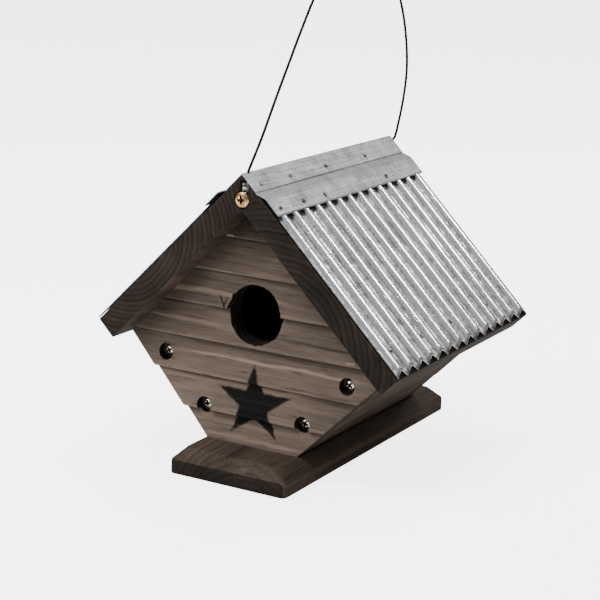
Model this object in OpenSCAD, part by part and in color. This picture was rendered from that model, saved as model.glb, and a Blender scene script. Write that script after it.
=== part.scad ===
// Hanging birdhouse: slanted box under a gable roof with corrugated metal and a cable loop.
// Millimetres. +Z is up, the front faces -Y, +X is the right side seen from the front.
// The origin is the centre of the base board's underside.

/* [Base board] */
// Length of the base board, front to back
base_length = 220; // [180:1:260]
// Width of the base board
base_width = 85; // [80:1:120]
// Thickness of the base board
base_thickness = 17; // [13:0.5:24]
// Width of the flat chamfer round the top of the base board
base_chamfer = 7.5; // [3:0.5:10]
// Radius of the upright corners of the base board
base_corner_radius = 4; // [2:0.5:8]

/* [Roof boards] */
// Slope of each side of the roof from level, in degrees
roof_pitch = 45; // [40:1:50]
// Height of the wooden apex above the underside of the base
apex_height = 193.5; // [175:0.5:220]
// Length of the roof boards, front to back
roof_length = 190; // [170:1:230]
// Width of the left roof board down its slope, apex to eave
left_slope = 150; // [135:1:175]
// Distance from the apex to the right eave down the slope
right_slope = 155; // [140:1:180]
// Thickness of the roof boards
roof_board = 15.5; // [12:0.5:19]
// How far the roof sits in front of the middle of the base
roof_forward = 3; // [0:0.5:6]

/* [House body] */
// Length of the body over both gable panels
body_length = 159; // [140:1:170]
// How far the body sits in front of the middle of the base
body_forward = 1.5; // [0:0.5:5]
// Thickness of the gable panels at their proudest
panel_thickness = 15.5; // [13:0.5:18]
// Thickness of the slanted side walls
wall_thickness = 18; // [15:0.5:20]
// Half width of the body where it stands on the base
body_foot = 33; // [30:0.5:40]
// Height of one course of the siding profile
course_height = 22.9; // [18:0.1:28]
// Height of the lowest proud lip of the siding profile above the base's underside
first_lip = 35; // [28:0.5:40]
// Depth of the step under each lip
lip_depth = 3.5; // [2:0.25:5]

/* [Entrance hole] */
// Diameter of the entrance hole
hole_diameter = 38; // [28:0.5:42]
// Height of the middle of the entrance hole above the underside of the base
hole_height = 102.5; // [95:0.5:115]

/* [Roof metal] */
// Distance from one crest of the corrugated sheet to the next
rib_pitch = 13.5; // [10:0.1:19]
// Height of the crests above the wood
rib_height = 2.7; // [2:0.1:4]
// Thickness of the sheet metal
sheet_thickness = 0.5; // [0.3:0.1:0.8]
// Gap left from the eave edge to the lower tips of the sheet
sheet_eave_gap = 0.5; // [0:0.5:5]
// How far the crests are cut back from the tips at the eave
crest_cutback = 4; // [2:0.5:8]
// Gap down the slope between the step of the ridge cap and the top of the sheet
sheet_top_gap = 0.5; // [0.5:0.5:4]
// Width of each flange of the ridge cap
cap_flange = 34; // [30:1:45]
// Width of the part of each flange that lies on the wood
cap_flat = 14; // [10:0.5:15]
// Width of the step that lifts the flange over the crests
cap_step = 8; // [4:0.5:9]
// Thickness of the ridge cap
cap_thickness = 0.7; // [0.5:0.1:1]

/* [Small nails] */
// Radius of the shank of the roofing nails
nail_radius = 0.7; // [0.5:0.1:1]
// Radius of the head of the roofing nails
nail_head_radius = 1.5; // [1.2:0.1:2.5]
// Thickness of the head of the roofing nails
nail_head = 0.5; // [0.3:0.1:0.8]
// Length of the roofing nails below the head
nail_length = 8.5; // [6:0.5:10]
// Distance from the ridge to the upper row of cap nails
cap_nail_upper = 9.5; // [6:0.5:11]
// Distance from the ridge to the lower row of cap nails
cap_nail_lower = 29.5; // [24:0.5:31]
// Distance from the eave up to the nails of the corrugated sheet
sheet_nail_up = 18.5; // [12:0.5:30]
// Radius of the long brads that hold the boards
brad_radius = 0.8; // [0.6:0.1:1]
// Radius of the head of the long brads
brad_head_radius = 1.3; // [1.1:0.1:2]
// Length of the long brads
brad_length = 38; // [30:1:42]

/* [Body screws] */
// Radius of the shank of the body screws
screw_radius = 1.75; // [1.5:0.05:1.95]
// Radius of the pan head of the body screws
screw_head_radius = 4; // [3.5:0.1:4.6]
// Height of the pan head of the body screws
screw_head = 2.6; // [2:0.1:3]
// Length of the body screws under the head
screw_length = 32; // [25:1:34]
// Radius of the counterbores that take the panel screws
counterbore_radius = 5.4; // [5:0.1:6]
// Depth of the counterbores behind the proud lips
counterbore_depth = 7.5; // [6:0.25:9]
// Distance of the panel screws from the slanted edge of the panel
screw_edge = 12.8; // [11:0.1:13.2]
// Height of the upper panel screws
upper_screw_height = 68.3; // [64:0.1:70]
// Height of the lower panel screws
lower_screw_height = 38.2; // [36:0.1:42]
// Distance of the base screws from the middle of the base
base_screw_x = 27; // [26:0.5:28]
// Distance of the base screws in front of and behind the middle
base_screw_y = 42; // [30:1:50]
// Depth of the base screw heads above the underside of the base
base_screw_recess = 0.5; // [0.2:0.1:1]

/* [Hanger] */
// Radius of the coated hanger cable
cable_radius = 0.9; // [0.7:0.05:1]
// Radius of the shank of the two brass hanger screws
ridge_screw_radius = 2.1; // [1.8:0.05:2.2]
// Radius of the head of the two brass hanger screws
ridge_screw_head_radius = 5.1; // [4.5:0.1:5.2]
// Thickness of the head of the two brass hanger screws
ridge_screw_head = 2.4; // [2:0.1:2.6]
// Length of the brass hanger screws under the head
ridge_screw_length = 38; // [30:1:42]
// Distance of the brass hanger screws below the apex
ridge_screw_drop = 15.7; // [15:0.1:17]
// Distance from the front of the roof to the cable hole in the cap
cable_hole_back = 8.5; // [8:0.5:12]
// Radius of the slanting hole the cable takes up through the cap
cable_hole_radius = 1.8; // [1.7:0.05:2]
// How far the cable stands behind the roof where it passes the ridge
rear_stand_off = 10; // [8:0.5:12]
// Length of the crimped sleeves
ferrule_length = 5; // [4:0.5:5.5]
// Half of the distance between the two bores of a sleeve
ferrule_half = 1.5; // [1.4:0.05:1.7]
// Sideways place of the front sleeve
front_ferrule_x = 1.6; // [0:0.1:1.8]
// Slack between a shank and its hole, and round the cable in its hole
fit_gap = 0.05; // [0.02:0.01:0.1]

/* [Hidden] */
$fn = 48;
eps = 0.5;
sn = sin(roof_pitch);
cs = cos(roof_pitch);
roof_front = -roof_length / 2 - roof_forward;
roof_back = roof_length / 2 - roof_forward;
body_front = -body_length / 2 - body_forward;
body_back = body_length / 2 - body_forward;
lap = roof_board / sin(2 * roof_pitch);
inner_apex = apex_height - roof_board / cs;
wall_tilt = 90 - roof_pitch;
foot_line = body_foot - base_thickness * tan(wall_tilt);
// where the outer face of a side wall meets the underside of the roof board
eave_z = (inner_apex - foot_line * tan(roof_pitch)) / (1 + tan(wall_tilt) * tan(roof_pitch));
eave_x = foot_line + eave_z * tan(wall_tilt);
wall_run = wall_thickness / cos(wall_tilt);
wall_top_x = eave_x - wall_thickness * cos(wall_tilt);
wall_top_z = eave_z + wall_thickness * sin(wall_tilt);
rib_count = floor(roof_length / rib_pitch);
sheet_width = rib_count * rib_pitch;
sheet_front = roof_front + (roof_length - sheet_width) / 2;
rib_steps = 8;
cap_lift = rib_height + fit_gap;
sheet_top = cap_flat + cap_step + sheet_top_gap;
ridge_screw_z = apex_height - ridge_screw_drop;
course_count = ceil((apex_height - first_lip) / course_height) + 1;
hole_gap = fit_gap;
slot_depth = 4.4;
slot_head = 1.8;
valley_lift = (rib_height - sheet_thickness) * (1 - cos(360 / rib_steps)) / 2;
front_eye_y = roof_front + 2.9;
rear_eye_y = roof_back + 3.6;
rear_screw_seat = roof_back + 4.8;
front_screw_seat = roof_front + 1.8;
ferrule_wall = 0.4;
ferrule_low = ridge_screw_z + 5.3;
ferrule_high = ferrule_low + ferrule_length;
sleeve_lead = 0.8;
cap_top = apex_height + cap_thickness / cs;
hinge_z = cap_top + cable_radius + 0.45;
cable_exit_y = roof_front + cable_hole_back;
cable_rear_y = roof_back + rear_stand_off;
half_break = 0.8;
phillips_width = 1.1;
phillips_depth = 1.3;
cap_nails_upper_y = [10.5, 45, 89, 141];
cap_nails_lower_rib = [0, 2, 4, 10];
sheet_nail_valley = [1, 4, 7, 11];
brad_slope = [50, 85, 120];
ridge_nail_y = [55, 95, 135];
cable_sides = 8;
turn_y = 90;
clear_radius = 1.5;

wood = [0.36, 0.31, 0.27];
zinc = [0.72, 0.73, 0.74];
steel = [0.66, 0.66, 0.64];
brass = [0.80, 0.62, 0.30];
black = [0.08, 0.08, 0.08];

// ---------- placing helpers ----------

// a flat shape drawn in X and Z, drawn out from y0 to y1
module along_y(y0, y1) {
    translate([0, y1, 0]) rotate([90, 0, 0]) linear_extrude(height = y1 - y0) children();
}

// a flat shape drawn in Y and Z, drawn out from x0 to x1
module along_x(x0, x1) {
    translate([x0, 0, 0]) rotate([90, 0, 90]) linear_extrude(height = x1 - x0) children();
}

// local X runs down the slope from the apex, local Z points out of the roof
module on_slope(side) {
    mirror([side < 0 ? 1 : 0, 0, 0])
        translate([0, 0, apex_height]) rotate([0, roof_pitch, 0]) children();
}

// the point of the section at distance u down the slope and w out of it
function slope_point(side, u, w) =
    [side * (u * cs + w * sn), apex_height - u * sn + w * cs];

function reversed(list) = [for (i = [len(list) - 1:-1:0]) list[i]];

// a round bar from y0 to y1
module bar_y(r, y0, y1) {
    translate([0, y1, 0]) rotate([90, 0, 0]) cylinder(h = y1 - y0, r = r);
}

// ---------- base ----------

module base_outline(inset) {
    r = base_corner_radius - inset * (base_corner_radius - clear_radius) / base_chamfer;
    x = base_width / 2 - inset;
    y = base_length / 2 - inset;
    union() {
        square([2 * (x - r), 2 * y], center = true);
        square([2 * x, 2 * (y - r)], center = true);
        for (sx = [-1, 1], sy = [-1, 1]) translate([sx * (x - r), sy * (y - r)]) circle(r = r);
    }
}

module chamfer_cut(half, reach) {
    // wedge that takes off one long top edge; half is the distance of that side from the middle
    along_y(-reach, reach) polygon([
        [half - base_chamfer, base_thickness],
        [half + eps, base_thickness - base_chamfer - eps],
        [half + eps, base_thickness + eps],
        [half - base_chamfer, base_thickness + eps]]);
}

module base_board() {
    color(wood) difference() {
        linear_extrude(height = base_thickness) base_outline(0);
        for (s = [0, 1]) {
            rotate([0, 0, s * 180]) chamfer_cut(base_width / 2, base_length);
            rotate([0, 0, turn_y + s * 180]) chamfer_cut(base_length / 2, base_length);
        }
        base_screw_shapes(hole_gap);
    }
}

// ---------- body ----------

function body_outline() = [
    [-body_foot, base_thickness], [body_foot, base_thickness],
    [eave_x, eave_z], [0, inner_apex], [-eave_x, eave_z]];

// siding section: y is the distance behind the proud lips
function siding_points() = concat(
    [for (k = [-1:course_count]) each [
        [0, first_lip + k * course_height],
        [lip_depth, first_lip + (k + 1) * course_height]]],
    [[panel_thickness, first_lip + (course_count + 1) * course_height],
     [panel_thickness, first_lip - course_height]]);

module siding_panel() {
    intersection() {
        along_x(-eave_x - eps, eave_x + eps) polygon(siding_points());
        along_y(-eps, panel_thickness + eps) polygon(body_outline());
    }
}

// the four screw places of a gable panel as [x, z]
function panel_screw_places() = [for (z = [upper_screw_height, lower_screw_height], s = [-1, 1])
    [s * (foot_line + z * tan(wall_tilt) - screw_edge / cos(wall_tilt)), z]];

module counterbores() {
    for (p = panel_screw_places()) translate([p[0], 0, p[1]]) {
        bar_y(counterbore_radius, -eps, counterbore_depth);
        bar_y(screw_radius + hole_gap, 0, panel_thickness + eps);
    }
}

module front_panel() {
    color(wood) difference() {
        translate([0, body_front, 0]) difference() {
            siding_panel();
            translate([0, 0, hole_height]) bar_y(hole_diameter / 2, -eps, panel_thickness + eps);
            counterbores();
        }
        roof_brad_shapes(hole_gap);
    }
}

module back_panel() {
    color(wood) difference() {
        translate([0, body_back, 0]) mirror([0, 1, 0]) difference() {
            siding_panel();
            counterbores();
        }
        roof_brad_shapes(hole_gap);
    }
}

module wall(side) {
    difference() {
        mirror([side < 0 ? 1 : 0, 0, 0])
            along_y(body_front + panel_thickness, body_back - panel_thickness)
                polygon([[body_foot, base_thickness], [eave_x, eave_z],
                    [wall_top_x, wall_top_z], [body_foot - wall_run, base_thickness]]);
        panel_screws_front(hole_gap);
        panel_screws_back(hole_gap);
        base_screw_shapes(hole_gap);
    }
}

module left_wall() { color(wood) wall(-1); }
module right_wall() { color(wood) wall(1); }

// ---------- roof boards ----------

module left_roof_board() {
    color(wood) difference() {
        along_y(roof_front, roof_back) polygon([
            slope_point(-1, 0, 0), slope_point(-1, left_slope, 0),
            slope_point(-1, left_slope, -roof_board), slope_point(1, lap, 0)]);
        board_holes();
    }
}

module right_roof_board() {
    color(wood) difference() {
        along_y(roof_front, roof_back) polygon([
            slope_point(1, lap, 0), slope_point(1, right_slope, 0),
            slope_point(1, right_slope, -roof_board), [0, inner_apex]]);
        board_holes();
    }
}

module board_holes() {
    cap_nail_shapes(hole_gap);
    sheet_nail_shapes(-1, hole_gap);
    sheet_nail_shapes(1, hole_gap);
    ridge_nail_shapes(hole_gap);
    roof_brad_shapes(hole_gap);
    translate([0, 0, ridge_screw_z]) {
        bar_y(ridge_screw_radius + hole_gap, roof_front - eps, front_screw_seat + ridge_screw_length + eps);
        bar_y(ridge_screw_radius + hole_gap, rear_screw_seat - ridge_screw_length - eps, roof_back + eps);
        bar_y(ridge_screw_head_radius + clear_radius / 3, roof_front - eps, roof_front + slot_depth);
    }
    // pocket for the front sleeve, and the slanting way of the cable to the cap
    translate([front_ferrule_x - ferrule_half - clear_radius, roof_front - eps, ridge_screw_z])
        cube([2 * (ferrule_half + clear_radius), slot_depth + eps, ferrule_high + slot_head - ridge_screw_z]);
    cable_way();
}

module cable_way() {
    rise = hinge_z - ferrule_high;
    run = cable_exit_y - front_eye_y;
    translate([front_ferrule_x - ferrule_half, front_eye_y, ferrule_high - 1])
        rotate([-atan2(run, rise), 0, 0])
            cylinder(h = 2 * rise, r = cable_hole_radius);
}

// ---------- roof metal ----------

function rib_y(k) = sheet_front + k * rib_pitch;

function wave(i) = (rib_height - sheet_thickness) * (1 - cos(360 * i / rib_steps)) / 2;

// section of the sheet across its ribs: x is height over the wood (negated), y is depth
function wave_points() = concat(
    [for (i = [0:rib_count * rib_steps])
        [-wave(i), sheet_front + i * rib_pitch / rib_steps]],
    [for (i = [rib_count * rib_steps:-1:0])
        [-wave(i) - sheet_thickness, sheet_front + i * rib_pitch / rib_steps]]);

module roof_sheet(side, slope) {
    low = slope - sheet_eave_gap;
    difference() {
        on_slope(side) difference() {
            translate([sheet_top, 0, 0]) rotate([0, 90, 0])
                linear_extrude(height = low - sheet_top) polygon(wave_points());
            for (k = [0:rib_count - 1])
                translate([low - crest_cutback, rib_y(k + 0.5), -eps])
                    linear_extrude(height = rib_height + 2 * eps) polygon([[0, 0],
                        [crest_cutback + eps, -rib_pitch * 0.46],
                        [crest_cutback + eps, rib_pitch * 0.46]]);
        }
        cap_nail_shapes(hole_gap);
        sheet_nail_shapes(side, hole_gap);
    }
}

module left_roof_sheet() { color(zinc) roof_sheet(-1, left_slope); }
module right_roof_sheet() { color(zinc) roof_sheet(1, right_slope); }

function cap_half(side) = [
    slope_point(side, cap_flat, 0),
    slope_point(side, cap_flat + cap_step, cap_lift),
    slope_point(side, cap_flange, cap_lift),
    slope_point(side, cap_flange, cap_lift + cap_thickness),
    slope_point(side, cap_flat + cap_step, cap_lift + cap_thickness),
    slope_point(side, cap_flat, cap_thickness)];

module ridge_cap() {
    color(zinc) difference() {
        along_y(roof_front, roof_back) polygon(concat([[0, apex_height]],
            cap_half(1), [[0, cap_top]], reversed(cap_half(-1))));
        cap_nail_shapes(hole_gap);
        cable_way();
    }
}

// ---------- nails and brads ----------

// nail standing in the slope; seat is where the underside of its head rests
module slope_nail(side, y, u, seat, gap, length) {
    on_slope(side) translate([u, y, seat]) {
        if (gap == 0) cylinder(h = nail_head, r = nail_head_radius);
        translate([0, 0, -length]) cylinder(h = length + eps * (gap > 0 ? 1 : 0), r = nail_radius + gap);
    }
}

module cap_nail_shapes(gap) {
    for (side = [-1, 1]) {
        for (y = cap_nails_upper_y)
            slope_nail(side, roof_front + y, cap_nail_upper, cap_thickness, gap, nail_length);
        for (k = cap_nails_lower_rib)
            slope_nail(side, rib_y(k + 0.5), cap_nail_lower, cap_lift + cap_thickness, gap, nail_length);
    }
}

module sheet_nail_shapes(side, gap) {
    slope = side < 0 ? left_slope : right_slope;
    for (k = sheet_nail_valley)
        slope_nail(side, rib_y(k), slope - sheet_nail_up, sheet_thickness + valley_lift, gap, nail_length - eps);
}

module brad(gap) {
    translate([0, 0, -brad_length]) cylinder(h = brad_length, r = brad_radius + gap);
    translate([0, 0, -nail_head]) cylinder(h = nail_head + (gap > 0 ? eps : 0), r = brad_head_radius + gap);
}

module ridge_nail_shapes(gap) {
    for (y = ridge_nail_y) on_slope(-1) translate([lap / 2, roof_front + y, 0]) brad(gap);
}

module roof_brads(side, gap) {
    for (y = [body_front + panel_thickness / 2, body_back - panel_thickness / 2], u = brad_slope)
        on_slope(side) translate([u, y, 0]) brad(gap);
}

module roof_brad_shapes(gap) {
    roof_brads(-1, gap);
    roof_brads(1, gap);
}

module ridge_cap_nails() { color(zinc) cap_nail_shapes(0); }
module left_sheet_nails() { color(zinc) sheet_nail_shapes(-1, 0); }
module right_sheet_nails() { color(zinc) sheet_nail_shapes(1, 0); }
module ridge_nails() { color(steel) ridge_nail_shapes(0); }
module left_roof_brads() { color(steel) roof_brads(-1, 0); }
module right_roof_brads() { color(steel) roof_brads(1, 0); }

// ---------- screws ----------

module cross_slot(width, depth) {
    for (a = [0, 90]) rotate([0, 0, a])
        translate([-width * 2, -width / 2, -depth]) cube([width * 4, width, depth + eps]);
}

// screw along Z with its head's underside at 0, pan head above, shank below
module pan_screw(r, head_r, head_h, length, gap) {
    point = r * 2;
    if (gap > 0) translate([0, 0, -length]) cylinder(h = length + eps, r = r + gap);
    else difference() {
        rotate_extrude() polygon([
            [0, -length], [r, -length + point], [r, 0], [head_r, 0],
            [head_r, head_h * 0.4], [head_r * 0.85, head_h * 0.75],
            [head_r * 0.55, head_h * 0.95], [head_r * 0.2, head_h], [0, head_h]]);
        translate([0, 0, head_h]) cross_slot(phillips_width, phillips_depth);
    }
}

// flat head screw along Z with the top of its head at 0
module flat_screw(r, head_r, length, gap) {
    cone = head_r - r;
    difference() {
        rotate_extrude() polygon([
            [0, -length - gap], [r + gap, -length + (gap > 0 ? 0 : r * 2)],
            [r + gap, -cone - head_r * 0.1], [head_r + gap, -head_r * 0.1],
            [head_r + gap, gap > 0 ? 2 * eps : 0], [0, gap > 0 ? 2 * eps : 0]]);
        if (gap == 0) cross_slot(phillips_width, phillips_depth);
    }
}

module panel_screws_front(gap) {
    for (p = panel_screw_places())
        translate([p[0], body_front + counterbore_depth, p[1]]) rotate([turn_y, 0, 0])
            pan_screw(screw_radius, screw_head_radius, screw_head, screw_length, gap);
}

module panel_screws_back(gap) {
    for (p = panel_screw_places())
        translate([p[0], body_back - counterbore_depth, p[1]]) rotate([-turn_y, 0, 0])
            pan_screw(screw_radius, screw_head_radius, screw_head, screw_length, gap);
}

module base_screw_shapes(gap) {
    for (sx = [-1, 1], sy = [-1, 1])
        translate([sx * base_screw_x, sy * base_screw_y, base_screw_recess]) rotate([180, 0, 0])
            flat_screw(screw_radius, screw_head_radius, screw_length, gap);
}

module front_panel_screws() { color(steel) panel_screws_front(0); }
module back_panel_screws() { color(steel) panel_screws_back(0); }
module base_screws() { color(steel) base_screw_shapes(0); }

module hanger_screw() {
    pan_screw(ridge_screw_radius, ridge_screw_head_radius, ridge_screw_head, ridge_screw_length, 0);
}

module front_ridge_screw() {
    color(brass) translate([0, front_screw_seat, ridge_screw_z]) rotate([turn_y, 0, 0]) hanger_screw();
}

module rear_ridge_screw() {
    color(brass) translate([0, rear_screw_seat, ridge_screw_z]) rotate([-turn_y, 0, 0]) hanger_screw();
}

// ---------- hanger ----------

module ferrule(x, y) {
    bore = cable_radius + fit_gap;
    skin = bore + ferrule_wall;
    translate([x, y, ferrule_low]) difference() {
        union() {
            for (s = [-1, 1]) translate([s * ferrule_half, 0, 0]) cylinder(h = ferrule_length, r = skin);
            translate([-ferrule_half, -ferrule_wall, 0])
                cube([2 * ferrule_half, 2 * ferrule_wall, ferrule_length]);
        }
        for (s = [-1, 1]) translate([s * ferrule_half, 0, -eps])
            cylinder(h = ferrule_length + 2 * eps, r = bore);
    }
}

module front_ferrule() { color(steel) ferrule(front_ferrule_x, front_eye_y); }
module rear_ferrule() { color(steel) ferrule(0, rear_eye_y); }

// smooth curve through hand-placed points, with steps rings between each two of them
function between(a, b, c, d, t) = 0.5 * ((2 * b) + (c - a) * t
    + (2 * a - 5 * b + 4 * c - d) * t * t + (3 * b - a - 3 * c + d) * t * t * t);
function last(list) = list[len(list) - 1];
function smooth(p, steps) = concat([for (i = [0:len(p) - 2], k = [0:steps - 1])
    between(i == 0 ? 2 * p[0] - p[1] : p[i - 1], p[i], p[i + 1],
        i + 2 > len(p) - 1 ? 2 * last(p) - p[len(p) - 2] : p[i + 2], k / steps)], [last(p)]);
function unit(v) = v / norm(v);
function heading(p, i) = unit(p[min(i + 1, len(p) - 1)] - p[max(i - 1, 0)]);

// ring of points round point i; ref is a direction the curve never takes
function ring(p, i, r, ref) = let (t = heading(p, i), n = unit(cross(t, ref)), b = cross(t, n))
    [for (k = [0:cable_sides - 1]) p[i] + r * (cos(360 * k / cable_sides) * n
        + sin(360 * k / cable_sides) * b)];

module cable(p, r, ref) {
    rings = len(p);
    polyhedron(
        points = [for (i = [0:rings - 1]) each ring(p, i, r, ref)],
        faces = concat(
            [[for (k = [0:cable_sides - 1]) k]],
            [for (i = [0:rings - 2], k = [0:cable_sides - 1]) each [
                [i * cable_sides + k, (i + 1) * cable_sides + k,
                    (i + 1) * cable_sides + (k + 1) % cable_sides],
                [i * cable_sides + k, (i + 1) * cable_sides + (k + 1) % cable_sides,
                    i * cable_sides + (k + 1) % cable_sides]]],
            [[for (k = [cable_sides - 1:-1:0]) (rings - 1) * cable_sides + k]]));
}

// the eye round the shank of a hanger screw, from its dead end to the top of the sleeve
function eye(x, y) = [
    [x + ferrule_half, y, ferrule_high + 0.5],
    [x + ferrule_half, y, ferrule_low + 2.5],
    [x + ferrule_half, y, ferrule_low],
    [x + ferrule_half, y, ferrule_low - sleeve_lead],
    [3.6, y, ridge_screw_z + 2.2],
    [3.5, y, ridge_screw_z],
    [2.5, y, ridge_screw_z - 2.5],
    [0, y, ridge_screw_z - 3.5],
    [-2.5, y, ridge_screw_z - 2.5],
    [-3.5, y, ridge_screw_z],
    [x - ferrule_half - 2, y, ridge_screw_z + 3.2],
    [x - ferrule_half, y, ferrule_low - sleeve_lead],
    [x - ferrule_half, y, ferrule_low],
    [x - ferrule_half, y, ferrule_low + 2.5],
    [x - ferrule_half, y, ferrule_high],
    [x - ferrule_half, y, ferrule_high + sleeve_lead]];

function rear_eye(y) = [
    [ferrule_half, y, ferrule_high + 0.5],
    [ferrule_half, y, ferrule_low + 2.5],
    [ferrule_half, y, ferrule_low],
    [ferrule_half, y, ferrule_low - sleeve_lead],
    [3, y, ridge_screw_z + 2.6],
    [3.4, y, ridge_screw_z],
    [2.3, y, ridge_screw_z - 2.3],
    [0, y, ridge_screw_z - 3.3],
    [-2.3, y, ridge_screw_z - 2.3],
    [-3.4, y, ridge_screw_z],
    [-3, y, ridge_screw_z + 2.6],
    [-ferrule_half, y, ferrule_low - sleeve_lead],
    [-ferrule_half, y, ferrule_low],
    [-ferrule_half, y, ferrule_low + 2.5],
    [-ferrule_half, y, ferrule_high],
    [-ferrule_half, y, ferrule_high + sleeve_lead]];

front_way = [cable_exit_y - front_eye_y, hinge_z - ferrule_high];
front_lead = [0.58, 0.81];
rear_lead = [0.35, 0.94];

module front_cable_end() {
    color(black) cable(smooth(concat(eye(front_ferrule_x, front_eye_y), [
        [front_ferrule_x - ferrule_half, front_eye_y + front_way[0] * 0.36, ferrule_high + front_way[1] * 0.36],
        [0.3, cable_exit_y - front_lead[0] * half_break, hinge_z - front_lead[1] * half_break]]), 2),
        cable_radius, [0, 1, 0]);
}

module rear_cable_end() {
    color(black) cable(smooth(concat(rear_eye(rear_eye_y), [
        [-1.2, rear_eye_y + 1.7, ferrule_high + 1.9],
        [-0.5, cable_rear_y - 1.9, hinge_z - 4.3],
        [0, cable_rear_y - rear_lead[0] * half_break, hinge_z - rear_lead[1] * half_break]]), 2),
        cable_radius, [0, 1, 0]);
}

// the free loop: front hole, straight rise, closed top, and the bulge behind the roof
module hanger_loop() {
    color(black) cable(smooth([
        [0, cable_exit_y + front_lead[0] * half_break, hinge_z + front_lead[1] * half_break],
        [0, -76, 213],
        [0, -61.5, 234],
        [0, -46.5, 255],
        [0, -32, 275],
        [0, -16, 295],
        [0, 2, 311],
        [0, 23, 321],
        [0, 46, 324],
        [0, 68, 317],
        [0, 87, 302],
        [0, 101, 283],
        [0, 110, 261],
        [0, 113.5, 238],
        [0, 110, 217],
        [0, cable_rear_y + rear_lead[0] * half_break, hinge_z + rear_lead[1] * half_break]], 5),
        cable_radius, [1, 0, 0]);
}

base_board();
left_wall();
right_wall();
front_panel();
back_panel();
left_roof_board();
right_roof_board();
left_roof_sheet();
right_roof_sheet();
ridge_cap();
ridge_cap_nails();
left_sheet_nails();
right_sheet_nails();
ridge_nails();
left_roof_brads();
right_roof_brads();
front_panel_screws();
back_panel_screws();
base_screws();
front_ridge_screw();
rear_ridge_screw();
front_ferrule();
rear_ferrule();
front_cable_end();
rear_cable_end();
hanger_loop();
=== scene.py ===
"""The looks of a hanging birdhouse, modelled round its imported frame.

Everything is in metres, in the frame's own axes: +Z up, the front faces -Y, +X is the right
side seen from the front. Each sub-assembly is a class that measures what it fits to from the
frame, builds its meshes with bmesh operators and dresses them in a procedural finish.
"""

import logging
import math
from dataclasses import dataclass, field
from enum import Enum
from typing import Callable, Iterable, Sequence

import bmesh
import bpy
from mathutils import Matrix, Vector, noise


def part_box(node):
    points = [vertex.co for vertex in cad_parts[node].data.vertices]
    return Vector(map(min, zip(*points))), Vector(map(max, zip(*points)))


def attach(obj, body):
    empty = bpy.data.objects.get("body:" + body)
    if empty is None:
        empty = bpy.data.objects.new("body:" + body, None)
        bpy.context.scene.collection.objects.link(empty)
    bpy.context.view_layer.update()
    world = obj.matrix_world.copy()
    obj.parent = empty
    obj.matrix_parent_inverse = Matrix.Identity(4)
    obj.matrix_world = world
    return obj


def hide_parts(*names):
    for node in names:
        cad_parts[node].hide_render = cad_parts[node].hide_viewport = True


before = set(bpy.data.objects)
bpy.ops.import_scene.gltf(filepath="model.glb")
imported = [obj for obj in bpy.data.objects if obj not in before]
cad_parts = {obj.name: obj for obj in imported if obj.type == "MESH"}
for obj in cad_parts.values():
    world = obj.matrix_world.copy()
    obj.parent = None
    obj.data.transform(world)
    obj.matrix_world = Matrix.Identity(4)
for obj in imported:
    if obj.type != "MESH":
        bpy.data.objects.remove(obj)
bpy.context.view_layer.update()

LOG = logging.getLogger("birdhouse")
MM = 0.001
ROOT = math.sqrt(0.5)
CAP_FLANGE = 34.0 * MM
HOUSE = "house"
HANGER = "hanger"

Point = tuple[float, float, float]
Colour = tuple[float, float, float]
Stops = Sequence[tuple[float, Colour]]
Span = tuple[float, float]


def mm(x: float, y: float, z: float) -> Vector:
    """A vector in metres from three lengths in millimetres."""
    return Vector((x, y, z)) * MM


# ---------------------------------------------------------------- choices


class Axis(Enum):
    """The axis that something runs along."""

    X = 0
    Y = 1
    Z = 2


class Side(Enum):
    """A side of the house; the value is its sign along X."""

    LEFT = -1
    RIGHT = 1


class End(Enum):
    """An end of the house; the value is its sign along Y."""

    FRONT = -1
    BACK = 1


# ---------------------------------------------------------------- node graphs


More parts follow.
